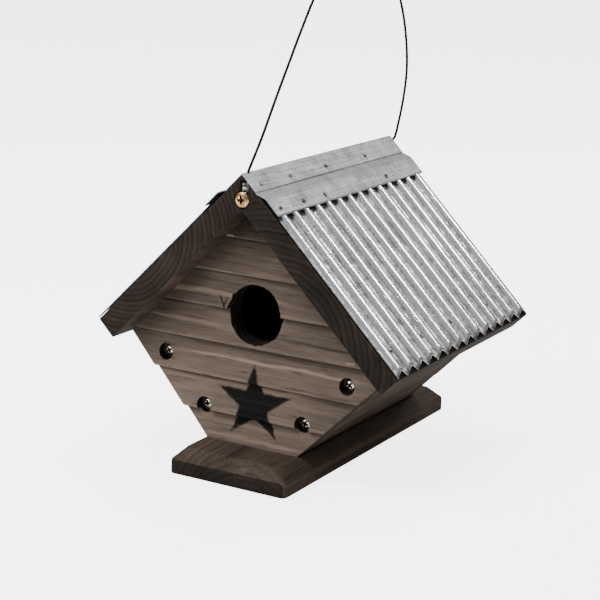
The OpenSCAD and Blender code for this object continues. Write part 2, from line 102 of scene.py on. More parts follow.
class Graph:
    """The node tree of one material, filled through short calls."""

    def __init__(self, name: str) -> None:
        """Starts a material with an empty Principled shader.

        Args:
            name: The material's name.
        """
        self.material = bpy.data.materials.new(name)
        self.material.use_nodes = True
        self.tree = self.material.node_tree
        self.tree.nodes.clear()
        self.shader = self.add("ShaderNodeBsdfPrincipled")
        output = self.add("ShaderNodeOutputMaterial")
        self.tree.links.new(self.shader.outputs[0], output.inputs["Surface"])
        self.place = self.add("ShaderNodeTexCoord").outputs["Object"]

    def add(self, kind: str, **settings: object) -> bpy.types.Node:
        """Adds a node.

        Args:
            kind: The node's type name.
            **settings: Properties to set on it.

        Returns:
            The new node.
        """
        node = self.tree.nodes.new(kind)
        for key, value in settings.items():
            setattr(node, key, value)
        return node

    def feed(self, socket: bpy.types.NodeSocket, value: object) -> None:
        """Links a socket to an output, or sets its own value.

        Args:
            socket: The input.
            value: An output socket, a number, a vector or a colour.
        """
        if isinstance(value, bpy.types.NodeSocket):
            self.tree.links.new(value, socket)
        elif isinstance(value, (tuple, list)) and len(value) == 3 and len(socket.default_value) == 4:
            socket.default_value = (*value, 1.0)
        else:
            socket.default_value = value

    def finish(self, **inputs: object) -> bpy.types.Material:
        """Sets the shader's inputs and gives the material.

        Args:
            **inputs: Socket names with underscores for spaces, and what each is given.

        Returns:
            The material.
        """
        for name, value in inputs.items():
            self.feed(self.shader.inputs[name.replace("_", " ")], value)
        return self.material

    def math(self, operation: str, a: object, b: object = 0.0, clamp: bool = False) -> bpy.types.NodeSocket:
        """The result of a math node on a and b."""
        node = self.add("ShaderNodeMath", operation=operation, use_clamp=clamp)
        self.feed(node.inputs[0], a)
        self.feed(node.inputs[1], b)
        return node.outputs[0]

    def vector(self, operation: str, a: object, b: object = (0.0, 0.0, 0.0)) -> bpy.types.Node:
        """A vector math node on a and b."""
        node = self.add("ShaderNodeVectorMath", operation=operation)
        self.feed(node.inputs[0], a)
        self.feed(node.inputs[1], b)
        return node

    def stretched(self, scale: Point, place: object = None) -> bpy.types.NodeSocket:
        """The place, scaled by axis, so that a texture of scale 1 runs at that many per metre."""
        return self.vector("MULTIPLY", place or self.place, scale).outputs[0]

    def noise(self, place: object, scale: float = 1.0, detail: float = 3.0,
              rough: float = 0.55) -> bpy.types.Node:
        """A noise texture node at a place."""
        node = self.add("ShaderNodeTexNoise")
        self.feed(node.inputs["Vector"], place)
        self.feed(node.inputs["Scale"], scale)
        self.feed(node.inputs["Detail"], detail)
        self.feed(node.inputs["Roughness"], rough)
        return node

    def remap(self, value: object, low: float, high: float, to: Span = (0.0, 1.0)) -> bpy.types.NodeSocket:
        """Value carried smoothly from low..high to the range in to, and held at its ends."""
        node = self.add("ShaderNodeMapRange", interpolation_type="SMOOTHSTEP")
        for socket, number in zip(node.inputs, (value, low, high, *to)):
            self.feed(socket, number)
        return node.outputs[0]

    def ramp(self, value: object, stops: Stops) -> bpy.types.NodeSocket:
        """The colour at value on a ramp of (place, colour) stops."""
        node = self.add("ShaderNodeValToRGB")
        self.feed(node.inputs[0], value)
        elements = node.color_ramp.elements
        while len(elements) < len(stops):
            elements.new(0.5)
        for element, (place, colour) in zip(elements, stops):
            element.position = place
            element.color = (*colour, 1.0)
        return node.outputs[0]

    def mix(self, share: object, a: object, b: object) -> bpy.types.NodeSocket:
        """Colour a with colour b mixed in by share."""
        node = self.add("ShaderNodeMix", data_type="RGBA")
        self.feed(node.inputs[0], share)
        self.feed(node.inputs[6], a)
        self.feed(node.inputs[7], b)
        return node.outputs[2]

    def bump(self, height: object, depth: float, strength: float,
             under: object = None) -> bpy.types.NodeSocket:
        """The normal of a bump of that depth in metres, laid over another normal if one is given."""
        node = self.add("ShaderNodeBump")
        self.feed(node.inputs["Height"], height)
        self.feed(node.inputs["Distance"], depth)
        self.feed(node.inputs["Strength"], strength)
        if under is not None:
            self.feed(node.inputs["Normal"], under)
        return node.outputs[0]

    def parts(self, place: object = None) -> tuple[bpy.types.NodeSocket, ...]:
        """The x, y and z of a place."""
        node = self.add("ShaderNodeSeparateXYZ")
        self.feed(node.inputs[0], place or self.place)
        return tuple(node.outputs)


# ---------------------------------------------------------------- finishes


@dataclass(frozen=True)
class Mark:
    """A lighter or darker streak along the grain of a gable panel.

    Attributes:
        x: Where its middle is along X, in millimetres.
        z: How high it is, in millimetres.
        length: Its length, in millimetres.
        width: Its width, in millimetres.
        strength: How much it shows; above 0 is lighter, below 0 is darker.
        slant: How much it rises for each millimetre along X.
    """

    x: float
    z: float
    length: float
    width: float
    strength: float
    slant: float = 0.0


@dataclass(frozen=True)
class Star:
    """A five-point star stencilled on a panel.

    Attributes:
        centre: Its middle as (x, z), in metres.
        radii: Its half width and half height, in metres.
        soft: How soft its edge is, as a share of the radius.
        colour: The paint.
    """

    centre: tuple[float, float]
    radii: tuple[float, float]
    soft: float = 0.035
    colour: Colour = (0.0012, 0.00115, 0.00105)

    def mask(self, graph: Graph, reach: float) -> bpy.types.NodeSocket:
        """Where the paint is: inside at least four of the star's five lines.

        Args:
            graph: The panel's graph.
            reach: How far back in Y the paint reaches, in metres.

        Returns:
            A socket that is 1 under the paint.
        """
        x, y, z = graph.parts()
        bleed = graph.noise(graph.stretched((170.0, 170.0, 420.0)), detail=4.0).outputs[0]
        wander = graph.math("MULTIPLY", graph.math("SUBTRACT", bleed, 0.5), self.soft * 3.2)
        across = graph.math("DIVIDE", graph.math("SUBTRACT", x, self.centre[0]), self.radii[0])
        up = graph.math("DIVIDE", graph.math("SUBTRACT", z, self.centre[1]), self.radii[1])
        line = math.cos(math.radians(72.0))
        total: object = wander
        for k in range(5):
            turn = math.radians(90.0 + 72.0 * k)
            reached = graph.math("ADD", graph.math("MULTIPLY", across, math.cos(turn)),
                                 graph.math("MULTIPLY", up, math.sin(turn)))
            reached = graph.math("ADD", reached, wander)
            inside = graph.remap(reached, line - self.soft, line + self.soft, (1.0, 0.0))
            total = graph.math("ADD", total, inside)
        inside = graph.math("SUBTRACT", total, 3.0, clamp=True)
        return graph.math("MULTIPLY", inside, graph.math("LESS_THAN", y, reach))


@dataclass(frozen=True)
class Wood:
    """Stained softwood: growth rings round a pith line, fibres, pores, an uneven stain and, on the gable
    panels, painted light and shade.

    Attributes:
        name: The finish's name.
        grain: The axis the grain runs along.
        pith: A point of the pith line, in millimetres.
        lean: How far the pith line leans off the grain axis, in degrees about the other two axes.
        ring: Width of one growth ring, in millimetres.
        dark: Colour of the darkest wood.
        light: Colour of the lightest wood.
        rings: How much the rings show.
        streaks: How much the long streaks show.
        fibres: How much the fine fibres show.
        bright: Added to the tone all over.
        end_shade: What the end grain's colour is multiplied by.
        gloss: The specular level.
        painted_falloff: How much lighter the tone is painted for each metre along each axis, standing in for
            light that falls off across a panel.
        course: First lip and height of a course of siding, in metres, for painted shade under each lip and a
            painted highlight along it.
        shade_ridge_height: Height of the underside of the ridge it stands under, below which shade is
            painted, in metres, or 0 for none.
    """

    name: str
    grain: Axis
    pith: Point
    lean: tuple[float, float] = (1.5, 2.0)
    ring: float = 4.2
    dark: Colour = (0.0085, 0.0058, 0.0042)
    light: Colour = (0.148, 0.106, 0.078)
    rings: float = 0.34
    streaks: float = 0.55
    fibres: float = 0.5
    bright: float = 0.0
    end_shade: float = 0.5
    gloss: float = 0.14
    painted_falloff: Point = (0.0, 0.0, 0.0)
    course: tuple[float, float] | None = None
    shade_ridge_height: float = 0.0

    def along(self, fine: float, coarse: float) -> Point:
        """A scale by axis: fine across the grain and coarse along it."""
        scale = [fine] * 3
        scale[self.grain.value] = coarse
        return tuple(scale)

    def ring_place(self, graph: Graph, end: bool) -> bpy.types.NodeSocket:
        """Distance from the pith in ring widths, made uneven.

        Args:
            graph: The graph it is added to.
            end: Whether it is for end grain, where the rings wander less.

        Returns:
            The distance as a socket.
        """
        sway = graph.noise(graph.stretched(self.along(26.0, 5.0)), detail=2.0).outputs[1]
        sway = graph.vector("SUBTRACT", sway, (0.5, 0.5, 0.5)).outputs[0]
        wide = (9.0 if end else 13.0) * MM
        sway = graph.vector("MULTIPLY", sway, (wide, wide, wide)).outputs[0]
        place = graph.vector("ADD", graph.place, sway).outputs[0]
        mapping = graph.add("ShaderNodeMapping", vector_type="TEXTURE")
        graph.feed(mapping.inputs["Vector"], place)
        mapping.inputs["Location"].default_value = mm(*self.pith)
        lean = [math.radians(self.lean[0]), math.radians(self.lean[1])]
        lean.insert(self.grain.value, 0.0)
        mapping.inputs["Rotation"].default_value = lean
        flat = [1.0, 1.0, 1.0]
        flat[self.grain.value] = 0.0
        across = graph.vector("MULTIPLY", mapping.outputs[0], tuple(flat)).outputs[0]
        return graph.math("DIVIDE", graph.vector("LENGTH", across).outputs["Value"], self.ring * MM)

    def tone(self, graph: Graph, end: bool) -> tuple[bpy.types.NodeSocket, bpy.types.NodeSocket]:
        """How light the wood is, and how high it stands in its relief.

        Args:
            graph: The graph it is added to.
            end: Whether it is for end grain.

        Returns:
            The tone, about 0 to 1, and the height, about 0 to 1.
        """
        rings = self.ring_place(graph, end)
        share = graph.math("FRACT", rings)
        late = graph.math("MULTIPLY", graph.remap(share, 0.35, 0.86),
                          graph.remap(share, 0.92, 1.0, (1.0, 0.0)))
        own = graph.add("ShaderNodeTexWhiteNoise", noise_dimensions="1D")
        graph.feed(own.inputs["W"], graph.math("FLOOR", rings))
        hairs = self.along(1500.0, 1500.0 if end else 34.0)
        fibre = graph.noise(graph.stretched(hairs), detail=4.0).outputs[0]
        streak = graph.noise(graph.stretched(self.along(75.0, 4.5)), detail=4.0, rough=0.6).outputs[0]
        blotch = graph.noise(graph.stretched(self.along(30.0, 12.0)), detail=3.0).outputs[0]
        strong = self.rings * (1.5 if end else 1.0)
        total: object = 0.5 + self.bright
        for value, middle, weight in (
            (late, 0.35, -strong), (own.outputs[0], 0.5, strong * 0.45),
            (fibre, 0.5, self.fibres), (streak, 0.5, self.streaks * (0.35 if end else 1.0)),
            (blotch, 0.5, 0.5),
        ):
            swing = graph.math("MULTIPLY", graph.math("SUBTRACT", value, middle), weight)
            total = graph.math("ADD", total, swing)
        # painted light falloff: lighter towards the lower left, as the lamps light it
        total = graph.math("ADD", total, graph.vector("DOT_PRODUCT", graph.place, self.painted_falloff).outputs["Value"])
        # painted shade under each lip and a painted highlight along it
        if self.course is not None and not end:
            total = graph.math("ADD", total, self.lip_light_and_shade(graph))
        # painted shade under the roof's overhang
        if self.shade_ridge_height and not end:
            total = graph.math("ADD", total, self.roof_shade(graph))
        height = graph.math("ADD", graph.math("MULTIPLY", fibre, 0.55), graph.math("MULTIPLY", late, 0.45))
        return total, height

    def roof_shade(self, graph: Graph) -> bpy.types.NodeSocket:
        """Painted shade under the ridge and along the left slope, where the roof's overhang shades the panel.
        """
        x, _, z = graph.parts()
        slope = graph.remap(graph.math("SUBTRACT", z, x), self.shade_ridge_height - 28.0 * MM, self.shade_ridge_height - 3.0 * MM)
        ridge = graph.remap(z, self.shade_ridge_height - 42.0 * MM, self.shade_ridge_height - 12.0 * MM)
        return graph.math("MULTIPLY", graph.math("MAXIMUM", slope, ridge), -0.24)

    def lip_light_and_shade(self, graph: Graph) -> bpy.types.NodeSocket:
        """Painted shade in the corner under each lip, and a painted highlight along the lip itself."""
        first, height = self.course
        z = graph.parts()[2]
        waver = graph.noise(graph.stretched((30.0, 0.0, 30.0)), detail=2.0).outputs[0]
        z = graph.math("ADD", z, graph.math("MULTIPLY", graph.math("SUBTRACT", waver, 0.5), 1.2 * MM))
        share = graph.math("FRACT", graph.math("DIVIDE", graph.math("SUBTRACT", z, first), height))
        # painted shade in the corner under the lip above
        corner = graph.remap(share, 0.88, 0.98, (0.0, -0.18))
        # painted highlight along the lip
        painted_relief_light = graph.remap(share, 0.0, 0.16, (0.16, 0.0))
        return graph.math("ADD", corner, painted_relief_light)

    def material(self, end: bool, marks: Sequence[Mark] = (), star: Star | None = None,
                 face: float = 0.0) -> bpy.types.Material:
        """The wood as a material.

        Args:
            end: Whether it is for end grain.
            marks: Streaks on it.
            star: A star painted on it, or None.
            face: How far back in Y the outer face reaches, for the star and the marks.

        Returns:
            The material.
        """
        graph = Graph(self.name + ("_end_grain" if end else ""))
        tone, height = self.tone(graph, end)
        for mark in marks:
            tone = graph.math("ADD", tone, mark_shape(graph, mark))
        shade = self.end_shade if end else 1.0
        dark, light = (tuple(c * shade for c in colour) for colour in (self.dark, self.light))
        middle = tuple(a * 0.62 + b * 0.38 for a, b in zip(dark, light))
        colour = graph.ramp(tone, [(0.12, dark), (0.5, middle), (0.9, light)])
        pits = self.along(1300.0, 1300.0 if end else 75.0)
        pore = graph.noise(graph.stretched(pits), detail=2.0).outputs[0]
        pores = graph.remap(pore, 0.60, 0.70)
        colour = graph.mix(graph.math("MULTIPLY", pores, 0.4), colour, tuple(c * 0.5 for c in dark))
        rough = graph.remap(height, 0.2, 0.8, (0.86, 0.66))
        if star is not None:
            paint = star.mask(graph, face)
            wear = graph.noise(graph.stretched(self.along(900.0, 120.0)), detail=3.0).outputs[0]
            paint = graph.math("MULTIPLY", paint, graph.remap(wear, 0.66, 0.78, (1.0, 0.55)))
            colour = graph.mix(paint, colour, star.colour)
            rough = graph.math("SUBTRACT", rough, graph.math("MULTIPLY", paint, 0.1))
        height = graph.math("SUBTRACT", height, graph.math("MULTIPLY", pores, 0.4))
        normal = graph.bump(height, 0.35 * MM, 0.75)
        return graph.finish(Base_Color=colour, Roughness=rough, Normal=normal, Specular_IOR_Level=self.gloss)


def mark_shape(graph: Graph, mark: Mark) -> bpy.types.NodeSocket:
    """What a mark adds to the tone of the wood.

    Args:
        graph: The panel's graph.
        mark: The mark.

    Returns:
        Its share of the tone.
    """
    x, _, z = graph.parts()
    ragged = graph.noise(graph.stretched((22.0, 0.0, 60.0)), detail=3.0).outputs[0]
    drift = graph.math("MULTIPLY", graph.math("SUBTRACT", ragged, 0.5), mark.width * 3.0 * MM)
    along = graph.math("SUBTRACT", x, mark.x * MM)
    if mark.slant:
        z = graph.math("SUBTRACT", z, graph.math("MULTIPLY", along, mark.slant))
    height = graph.math("ABSOLUTE", graph.math("SUBTRACT", graph.math("ADD", z, drift), mark.z * MM))
    reach = graph.math("ABSOLUTE", along)
    up = graph.remap(height, 0.0, mark.width * MM, (1.0, 0.0))
    side = graph.remap(reach, mark.length * 0.28 * MM, mark.length * 0.55 * MM, (1.0, 0.0))
    return graph.math("MULTIPLY", graph.math("MULTIPLY", up, side), mark.strength)


@dataclass(frozen=True)
class Galvanised:
    """Hot-dipped sheet: a zinc spangle, mottled grey bloom and fine scratches.

    Attributes:
        name: The finish's name.
        light: The bright zinc.
        dull: The dull bloom.
        spangle: Crystals to the metre.
        turn: How far its pattern is turned about Y, in degrees, so that its X runs down the slope.
        scratch: The axis the fine scratches run along, after that turn.
        rough: Lowest and highest roughness.
        metal: How metallic it is.
        seat: How high the wood under it is along its turned Z, in metres.
        crest: Height of its crests over the wood, in metres, for a painted highlight on the crests and
            painted shade in the valleys, or 0 on a flat strip.
        cover: How far down the slope the cap reaches over it, in metres.
        cap_shadow_reach: How far the cap's painted shadow runs down the valleys from there, in metres.
    """

    name: str
    light: Colour = (0.86, 0.865, 0.87)
    dull: Colour = (0.16, 0.163, 0.168)
    spangle: float = 170.0
    turn: float = 0.0
    scratch: Axis = Axis.Y
    rough: tuple[float, float] = (0.17, 0.50)
    metal: float = 0.94
    seat: float = 0.0
    crest: float = 0.0
    cover: float = CAP_FLANGE
    cap_shadow_reach: float = 6.5 * MM

    def painted_cap_shadow(self, graph: Graph, height: bpy.types.NodeSocket) -> bpy.types.NodeSocket:
        """Where the cap's shadow is painted black in the valleys below its edge.

        Args:
            graph: The sheet's graph, whose place is turned to the slope.
            height: Height over the wood.

        Returns:
            A socket that is 1 in the darkest painted shadow.
        """
        down = graph.math("MULTIPLY", graph.parts()[0], math.copysign(1.0, -self.turn))
        down = graph.math("ADD", down, self.seat)
        ragged = graph.noise(graph.stretched((260.0, 420.0, 0.0)), detail=3.0).outputs[0]
        ragged = graph.math("MULTIPLY", graph.math("SUBTRACT", ragged, 0.5), 4.0 * MM)
        reach = graph.math("ADD", graph.math("ADD", down, ragged), graph.math("MULTIPLY", height, 1.3))
        near = graph.remap(reach, self.cover + self.cap_shadow_reach * 0.55, self.cover + self.cap_shadow_reach, (1.0, 0.0))
        valley = graph.remap(height, self.crest * 0.55, self.crest * 0.85, (1.0, 0.0))
        return graph.math("MULTIPLY", near, valley)

    def material(self) -> bpy.types.Material:
        """The sheet as a material, with painted highlights on the crests, painted shade in the valleys and
        the cap's painted shadow below its edge.
        """
        graph = Graph(self.name)
        mapping = graph.add("ShaderNodeMapping", vector_type="POINT")
        graph.feed(mapping.inputs["Vector"], graph.place)
        mapping.inputs["Rotation"].default_value = (0.0, math.radians(self.turn), 0.0)
        graph.place = mapping.outputs[0]
        warp = graph.noise(graph.stretched((60.0, 60.0, 60.0)), detail=2.0).outputs[1]
        warp = graph.vector("MULTIPLY", warp, (0.006, 0.006, 0.006)).outputs[0]
        place = graph.vector("ADD", graph.place, warp)
        crystals = graph.add("ShaderNodeTexVoronoi", feature="F1")
        graph.feed(crystals.inputs["Vector"], place.outputs[0])
        graph.feed(crystals.inputs["Scale"], self.spangle)
        tints = graph.add("ShaderNodeSeparateColor")
        graph.feed(tints.inputs[0], crystals.outputs["Color"])
        bloom = graph.noise(graph.stretched((70.0, 70.0, 70.0)), detail=6.0, rough=0.72).outputs[0]
        speck = graph.noise(graph.stretched((520.0, 520.0, 520.0)), detail=4.0, rough=0.7).outputs[0]
        lines = [900.0, 900.0, 900.0]
        lines[self.scratch.value] = 22.0
        scratch = graph.noise(graph.stretched(tuple(lines)), detail=2.0).outputs[0]
        tone: object = 0.5
        for value, weight in ((tints.outputs[0], 0.24), (bloom, 1.0), (speck, 1.1), (scratch, 0.9)):
            tone = graph.math("ADD", tone, graph.math("MULTIPLY", graph.math("SUBTRACT", value, 0.5), weight))
        if self.crest:
            height = graph.math("SUBTRACT", graph.parts()[2], self.seat)
            # painted highlight on the crests and painted shade in the valleys, for the ribs' sheen
            painted_relief_light = graph.remap(height, self.crest * 0.45, self.crest * 0.86, (-0.26, 0.42))
            tone = graph.math("ADD", tone, painted_relief_light)
        colour = graph.ramp(tone, [(0.12, self.dull), (0.88, self.light)])
        if self.crest:
            # the cap's shadow painted near black into the valleys below its edge
            colour = graph.mix(self.painted_cap_shadow(graph, height), colour, tuple(c * 0.05 for c in self.dull))
        rough = graph.remap(graph.math("SUBTRACT", 1.0, tone), 0.15, 0.85, self.rough)
        relief = graph.math("ADD", graph.math("MULTIPLY", bloom, 0.75), graph.math("MULTIPLY", speck, 0.12))
        under = graph.bump(relief, 0.35 * MM, 0.6)
        normal = graph.bump(tints.outputs[1], 0.05 * MM, 0.5, under)
        return graph.finish(Base_Color=colour, Roughness=rough, Normal=normal, Metallic=self.metal)


@dataclass(frozen=True)
class Metal:
    """A plated fastener or sleeve with patches of tarnish and fine machining lines.

    Attributes:
        name: The finish's name.
        bright: The clean metal.
        tarnish: The tarnish.
        rough: Lowest and highest roughness.
        spread: Patches of tarnish to the metre.
        amount: Share of the surface that is tarnished.
    """

    name: str
    bright: Colour
    tarnish: Colour
    rough: tuple[float, float] = (0.2, 0.48)
    spread: float = 260.0
    amount: float = 0.45

    def material(self) -> bpy.types.Material:
        """The metal as a material."""
        graph = Graph(self.name)
        patch = graph.noise(graph.place, self.spread, detail=4.0, rough=0.62).outputs[0]
        grain = graph.noise(graph.place, self.spread * 9.0, detail=2.0).outputs[0]
        tone = graph.math("ADD", patch, graph.math("MULTIPLY", graph.math("SUBTRACT", grain, 0.5), 0.35))
        dull = graph.remap(tone, 0.75 - self.amount * 0.5, 0.42 + self.amount * 0.1, (0.0, 1.0))
        colour = graph.mix(dull, self.bright, self.tarnish)
        rough = graph.remap(dull, 0.0, 1.0, self.rough)
        normal = graph.bump(tone, 0.06 * MM, 0.5)
        return graph.finish(Base_Color=colour, Roughness=rough, Normal=normal, Metallic=1.0)


@dataclass(frozen=True)
class Coating:
    """Soft vinyl over a twisted cable, whose lay shows through as a faint rope pattern.

    Attributes:
        name: The finish's name.
        colour: The vinyl.
        scuff: The vinyl where it is scuffed grey.
    """

    name: str
    colour: Colour = (0.004, 0.004, 0.004)
    scuff: Colour = (0.018, 0.017, 0.016)

    def material(self) -> bpy.types.Material:
        """The coating as a material."""
        graph = Graph(self.name)
        rub = graph.noise(graph.place, 420.0, detail=4.0).outputs[0]
        dirt = graph.noise(graph.place, 60.0, detail=3.0).outputs[0]
        twist = graph.add("ShaderNodeTexWave", wave_type="BANDS", bands_direction="DIAGONAL")
        graph.feed(twist.inputs["Vector"], graph.place)
        graph.feed(twist.inputs["Scale"], 190.0)
        share = graph.remap(graph.math("ADD", rub, graph.math("MULTIPLY", dirt, 0.4)), 0.62, 0.92)
        colour = graph.mix(share, self.colour, self.scuff)
        rough = graph.remap(rub, 0.3, 0.7, (0.34, 0.56))
        lay = graph.math("MULTIPLY", twist.outputs[1], 0.8)
        height = graph.math("ADD", lay, graph.math("MULTIPLY", rub, 0.2))
        normal = graph.bump(height, 0.05 * MM, 0.3)
        return graph.finish(Base_Color=colour, Roughness=rough, Normal=normal, Specular_IOR_Level=0.1)


ZINC = Metal("zinc_plate", (0.63, 0.63, 0.62), (0.30, 0.29, 0.275))
STEEL = Metal("dark_screw_steel", (0.78, 0.72, 0.63), (0.20, 0.165, 0.13), (0.18, 0.42), 330.0, 0.5)
BRASS = Metal("yellow_brass", (0.86, 0.62, 0.30), (0.36, 0.21, 0.075), (0.2, 0.42), 300.0, 0.4)
SLEEVE = Metal("sleeve_aluminium", (0.72, 0.71, 0.69), (0.10, 0.095, 0.09), (0.2, 0.42), 420.0, 0.6)
# near-black metals painted into the cross recesses as shade
BRASS_RECESS_SHADE = Metal("brass_recess_shade", (0.16, 0.09, 0.03), (0.03, 0.018, 0.01), (0.4, 0.6), 300.0, 0.6)
STEEL_RECESS_SHADE = Metal("steel_recess_shade", (0.08, 0.07, 0.06), (0.02, 0.017, 0.014), (0.4, 0.6), 330.0, 0.6)
VINYL = Coating("black_vinyl")
CAP = Galvanised("galvanised_cap", (0.42, 0.424, 0.43), (0.18, 0.183, 0.188), 130.0, scratch=Axis.Y,
                 rough=(0.42, 0.6), metal=0.8)
NAIL_ZINC = Metal("weathered_nail_zinc", (0.42, 0.41, 0.40), (0.06, 0.055, 0.05), (0.3, 0.6), 500.0, 0.7)


# ---------------------------------------------------------------- mesh tools


def prism(section: Sequence[tuple[float, float]], axis: Axis, low: float, high: float) -> bmesh.types.BMesh:
    """A solid drawn out along an axis from a flat section.

    Args:
        section: Corners, as (x, z) for axis Y and as (y, z) for axis X.
        axis: The axis it is drawn along.
        low: Where it starts on that axis.
        high: Where it ends.

    Returns:
        A new mesh.
    """
    bm = bmesh.new()
    if axis is Axis.Y:
        corners = [bm.verts.new((a, low, b)) for a, b in section]
        move = Vector((0.0, high - low, 0.0))
    else:
        corners = [bm.verts.new((low, a, b)) for a, b in section]
        move = Vector((high - low, 0.0, 0.0))
    face = bm.faces.new(corners)
    made = bmesh.ops.extrude_face_region(bm, geom=[face], use_keep_orig=True)
    moved = [v for v in made["geom"] if isinstance(v, bmesh.types.BMVert)]
    bmesh.ops.translate(bm, vec=move, verts=moved)
    bmesh.ops.recalc_face_normals(bm, faces=bm.faces)
    return bm


def bevel(bm: bmesh.types.BMesh, edges: Iterable[bmesh.types.BMEdge], width: float, segments: int) -> None:
    """Rounds edges, or chamfers them with one segment.

    Args:
        bm: The mesh.
        edges: The edges.
        width: Distance from the edge along its faces.
        segments: Steps in the round.
    """
    bmesh.ops.bevel(bm, geom=list(edges), offset=width, offset_type="OFFSET", affect="EDGES",
                    segments=segments, profile=0.5, material=-1, clamp_overlap=True)


def sharp(bm: bmesh.types.BMesh, least: float = 25.0) -> list[bmesh.types.BMEdge]:
    """Edges whose faces turn by at least that many degrees."""
    return [e for e in bm.edges if e.is_manifold and e.calc_face_angle(0.0) > math.radians(least)]


def slice_up(bm: bmesh.types.BMesh, axis: Axis, step: float) -> None:
    """Cuts loops across a mesh at even steps along an axis, so that it can be made uneven.

    Args:
        bm: The mesh.
        axis: The axis across which the cuts stand.
        step: Distance between cuts.
    """
    along = [v.co[axis.value] for v in bm.verts]
    low, high = min(along), max(along)
    count = max(2, round((high - low) / step))
    normal = Vector((0.0, 0.0, 0.0))
    normal[axis.value] = 1.0
    for k in range(1, count):
        at = normal * (low + (high - low) * k / count)
        geom = bm.verts[:] + bm.edges[:] + bm.faces[:]
        bmesh.ops.bisect_plane(bm, geom=geom, dist=1e-7, plane_co=at, plane_no=normal)


def wander(bm: bmesh.types.BMesh, amount: float, scale: Point, seed: float) -> None:
    """Moves the vertices a little way inwards by a smooth noise.

    Args:
        bm: The mesh.
        amount: The furthest that one moves.
        scale: Waves to the metre by axis.
        seed: Where in the noise it starts.
    """
    bm.normal_update()
    for v in bm.verts:
        at = Vector([c * s + seed for c, s in zip(v.co, scale)])
        v.co -= v.normal * amount * (0.5 + 0.5 * noise.noise(at))


def ring_solid(profile: Sequence[tuple[float, float]], steps: int) -> bmesh.types.BMesh:
    """A solid of revolution about Z.

    Args:
        profile: (radius, height) from the axis to the axis, bottom to top.
        steps: Steps in the full turn.

    Returns:
        A new mesh.
    """
    bm = bmesh.new()
    verts = [bm.verts.new((r, 0.0, z)) for r, z in profile]
    edges = [bm.edges.new(pair) for pair in zip(verts, verts[1:])]
    bmesh.ops.spin(bm, geom=verts + edges, cent=(0, 0, 0), axis=(0, 0, 1), dvec=(0, 0, 0),
                   angle=math.tau, steps=steps, use_merge=True)
    bmesh.ops.remove_doubles(bm, verts=bm.verts, dist=1e-7)
    bmesh.ops.recalc_face_normals(bm, faces=bm.faces)
    return bm


def rod(radius: float, low: Vector, high: Vector, steps: int = 32) -> bmesh.types.BMesh:
    """A plain round cutter between two points."""
    bm = bmesh.new()
    length = (high - low).length
    bmesh.ops.create_cone(bm, cap_ends=True, segments=steps, radius1=radius, radius2=radius, depth=length)
    turn = (high - low).to_track_quat("Z", "Y").to_matrix().to_4x4()
    bmesh.ops.transform(bm, matrix=Matrix.Translation((low + high) / 2) @ turn, verts=bm.verts)
    return bm


def block(low: Vector, high: Vector) -> bmesh.types.BMesh:
    """A plain box cutter between two corners."""
    bm = bmesh.new()
    bmesh.ops.create_cube(bm, size=1.0)
    bmesh.ops.transform(bm, verts=bm.verts, matrix=Matrix.Translation((low + high) / 2)
                        @ Matrix.Diagonal((*(high - low), 1.0)))
    return bm


def joined(parts: Iterable[bmesh.types.BMesh]) -> bmesh.types.BMesh:
    """One mesh out of several, which are freed."""
    whole = bmesh.new()
    for part in parts:
        kept = bpy.data.meshes.new("part")
        part.to_mesh(kept)
        part.free()
        whole.from_mesh(kept)
        bpy.data.meshes.remove(kept)
    return whole


def cut(bm: bmesh.types.BMesh, cutters: Sequence[bmesh.types.BMesh]) -> bmesh.types.BMesh:
    """Takes cutters out of a solid.

    Args:
        bm: The solid, which is freed.
        cutters: The cutters, which are freed.

    Returns:
        The cut solid as a new mesh.
    """
    objects = []
    for part in (bm, *cutters):
        mesh = bpy.data.meshes.new("work")
        part.to_mesh(mesh)
        part.free()
        objects.append(bpy.data.objects.new("work", mesh))
        bpy.context.scene.collection.objects.link(objects[-1])
    solid, tools = objects[0], objects[1:]
    for tool in tools:
        step = solid.modifiers.new("cut", "BOOLEAN")
        step.operation = "DIFFERENCE"
        step.solver = "EXACT"
        step.object = tool
    shaped = solid.evaluated_get(bpy.context.evaluated_depsgraph_get())
    result = bmesh.new()
    result.from_mesh(shaped.to_mesh())
    shaped.to_mesh_clear()
    for thing in objects:
        mesh = thing.data
        bpy.data.objects.remove(thing)
        bpy.data.meshes.remove(mesh)
    bmesh.ops.remove_doubles(result, verts=result.verts, dist=2e-6)
    return result


def catmull(points: Sequence[Vector], steps: int) -> list[Vector]:
    """A smooth run through given points.

    Args:
        points: The points.
        steps: Steps between each two.

    Returns:
        The finer points, with the first and last kept.
    """
    padded = [points[0] * 2 - points[1], *points, points[-1] * 2 - points[-2]]
    run = []
    for a, b, c, d in zip(padded, padded[1:], padded[2:], padded[3:]):
        for k in range(steps):
            t = k / steps
            run.append(0.5 * (2 * b + (c - a) * t + (2 * a - 5 * b + 4 * c - d) * t * t
                              + (3 * b - a - 3 * c + d) * t ** 3))
    return [*run, points[-1].copy()]


def islands(node: str) -> list[list[Vector]]:
    """The corners of each separate solid in a CAD node.

    Args:
        node: The node's name.

    Returns:
        One list of points to a solid, in the order in which they are met.
    """
    bm = bmesh.new()
    bm.from_mesh(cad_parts[node].data)
    bmesh.ops.remove_doubles(bm, verts=bm.verts, dist=1e-6)
    found, seen = [], set()
    for first in bm.verts:
        if first in seen:
            continue
        group, queue = [], [first]
        seen.add(first)
        while queue:
            v = queue.pop()
            group.append(v.co.copy())
            for e in v.link_edges:
                other = e.other_vert(v)
                if other not in seen:
                    seen.add(other)
                    queue.append(other)
        found.append(group)
    bm.free()
    return found


def spread(points: Sequence[Vector]) -> tuple[Vector, Vector]:
    """Lowest and highest corner of some points."""
    low = Vector([min(p[k] for p in points) for k in range(3)])
    high = Vector([max(p[k] for p in points) for k in range(3)])
    return low, high


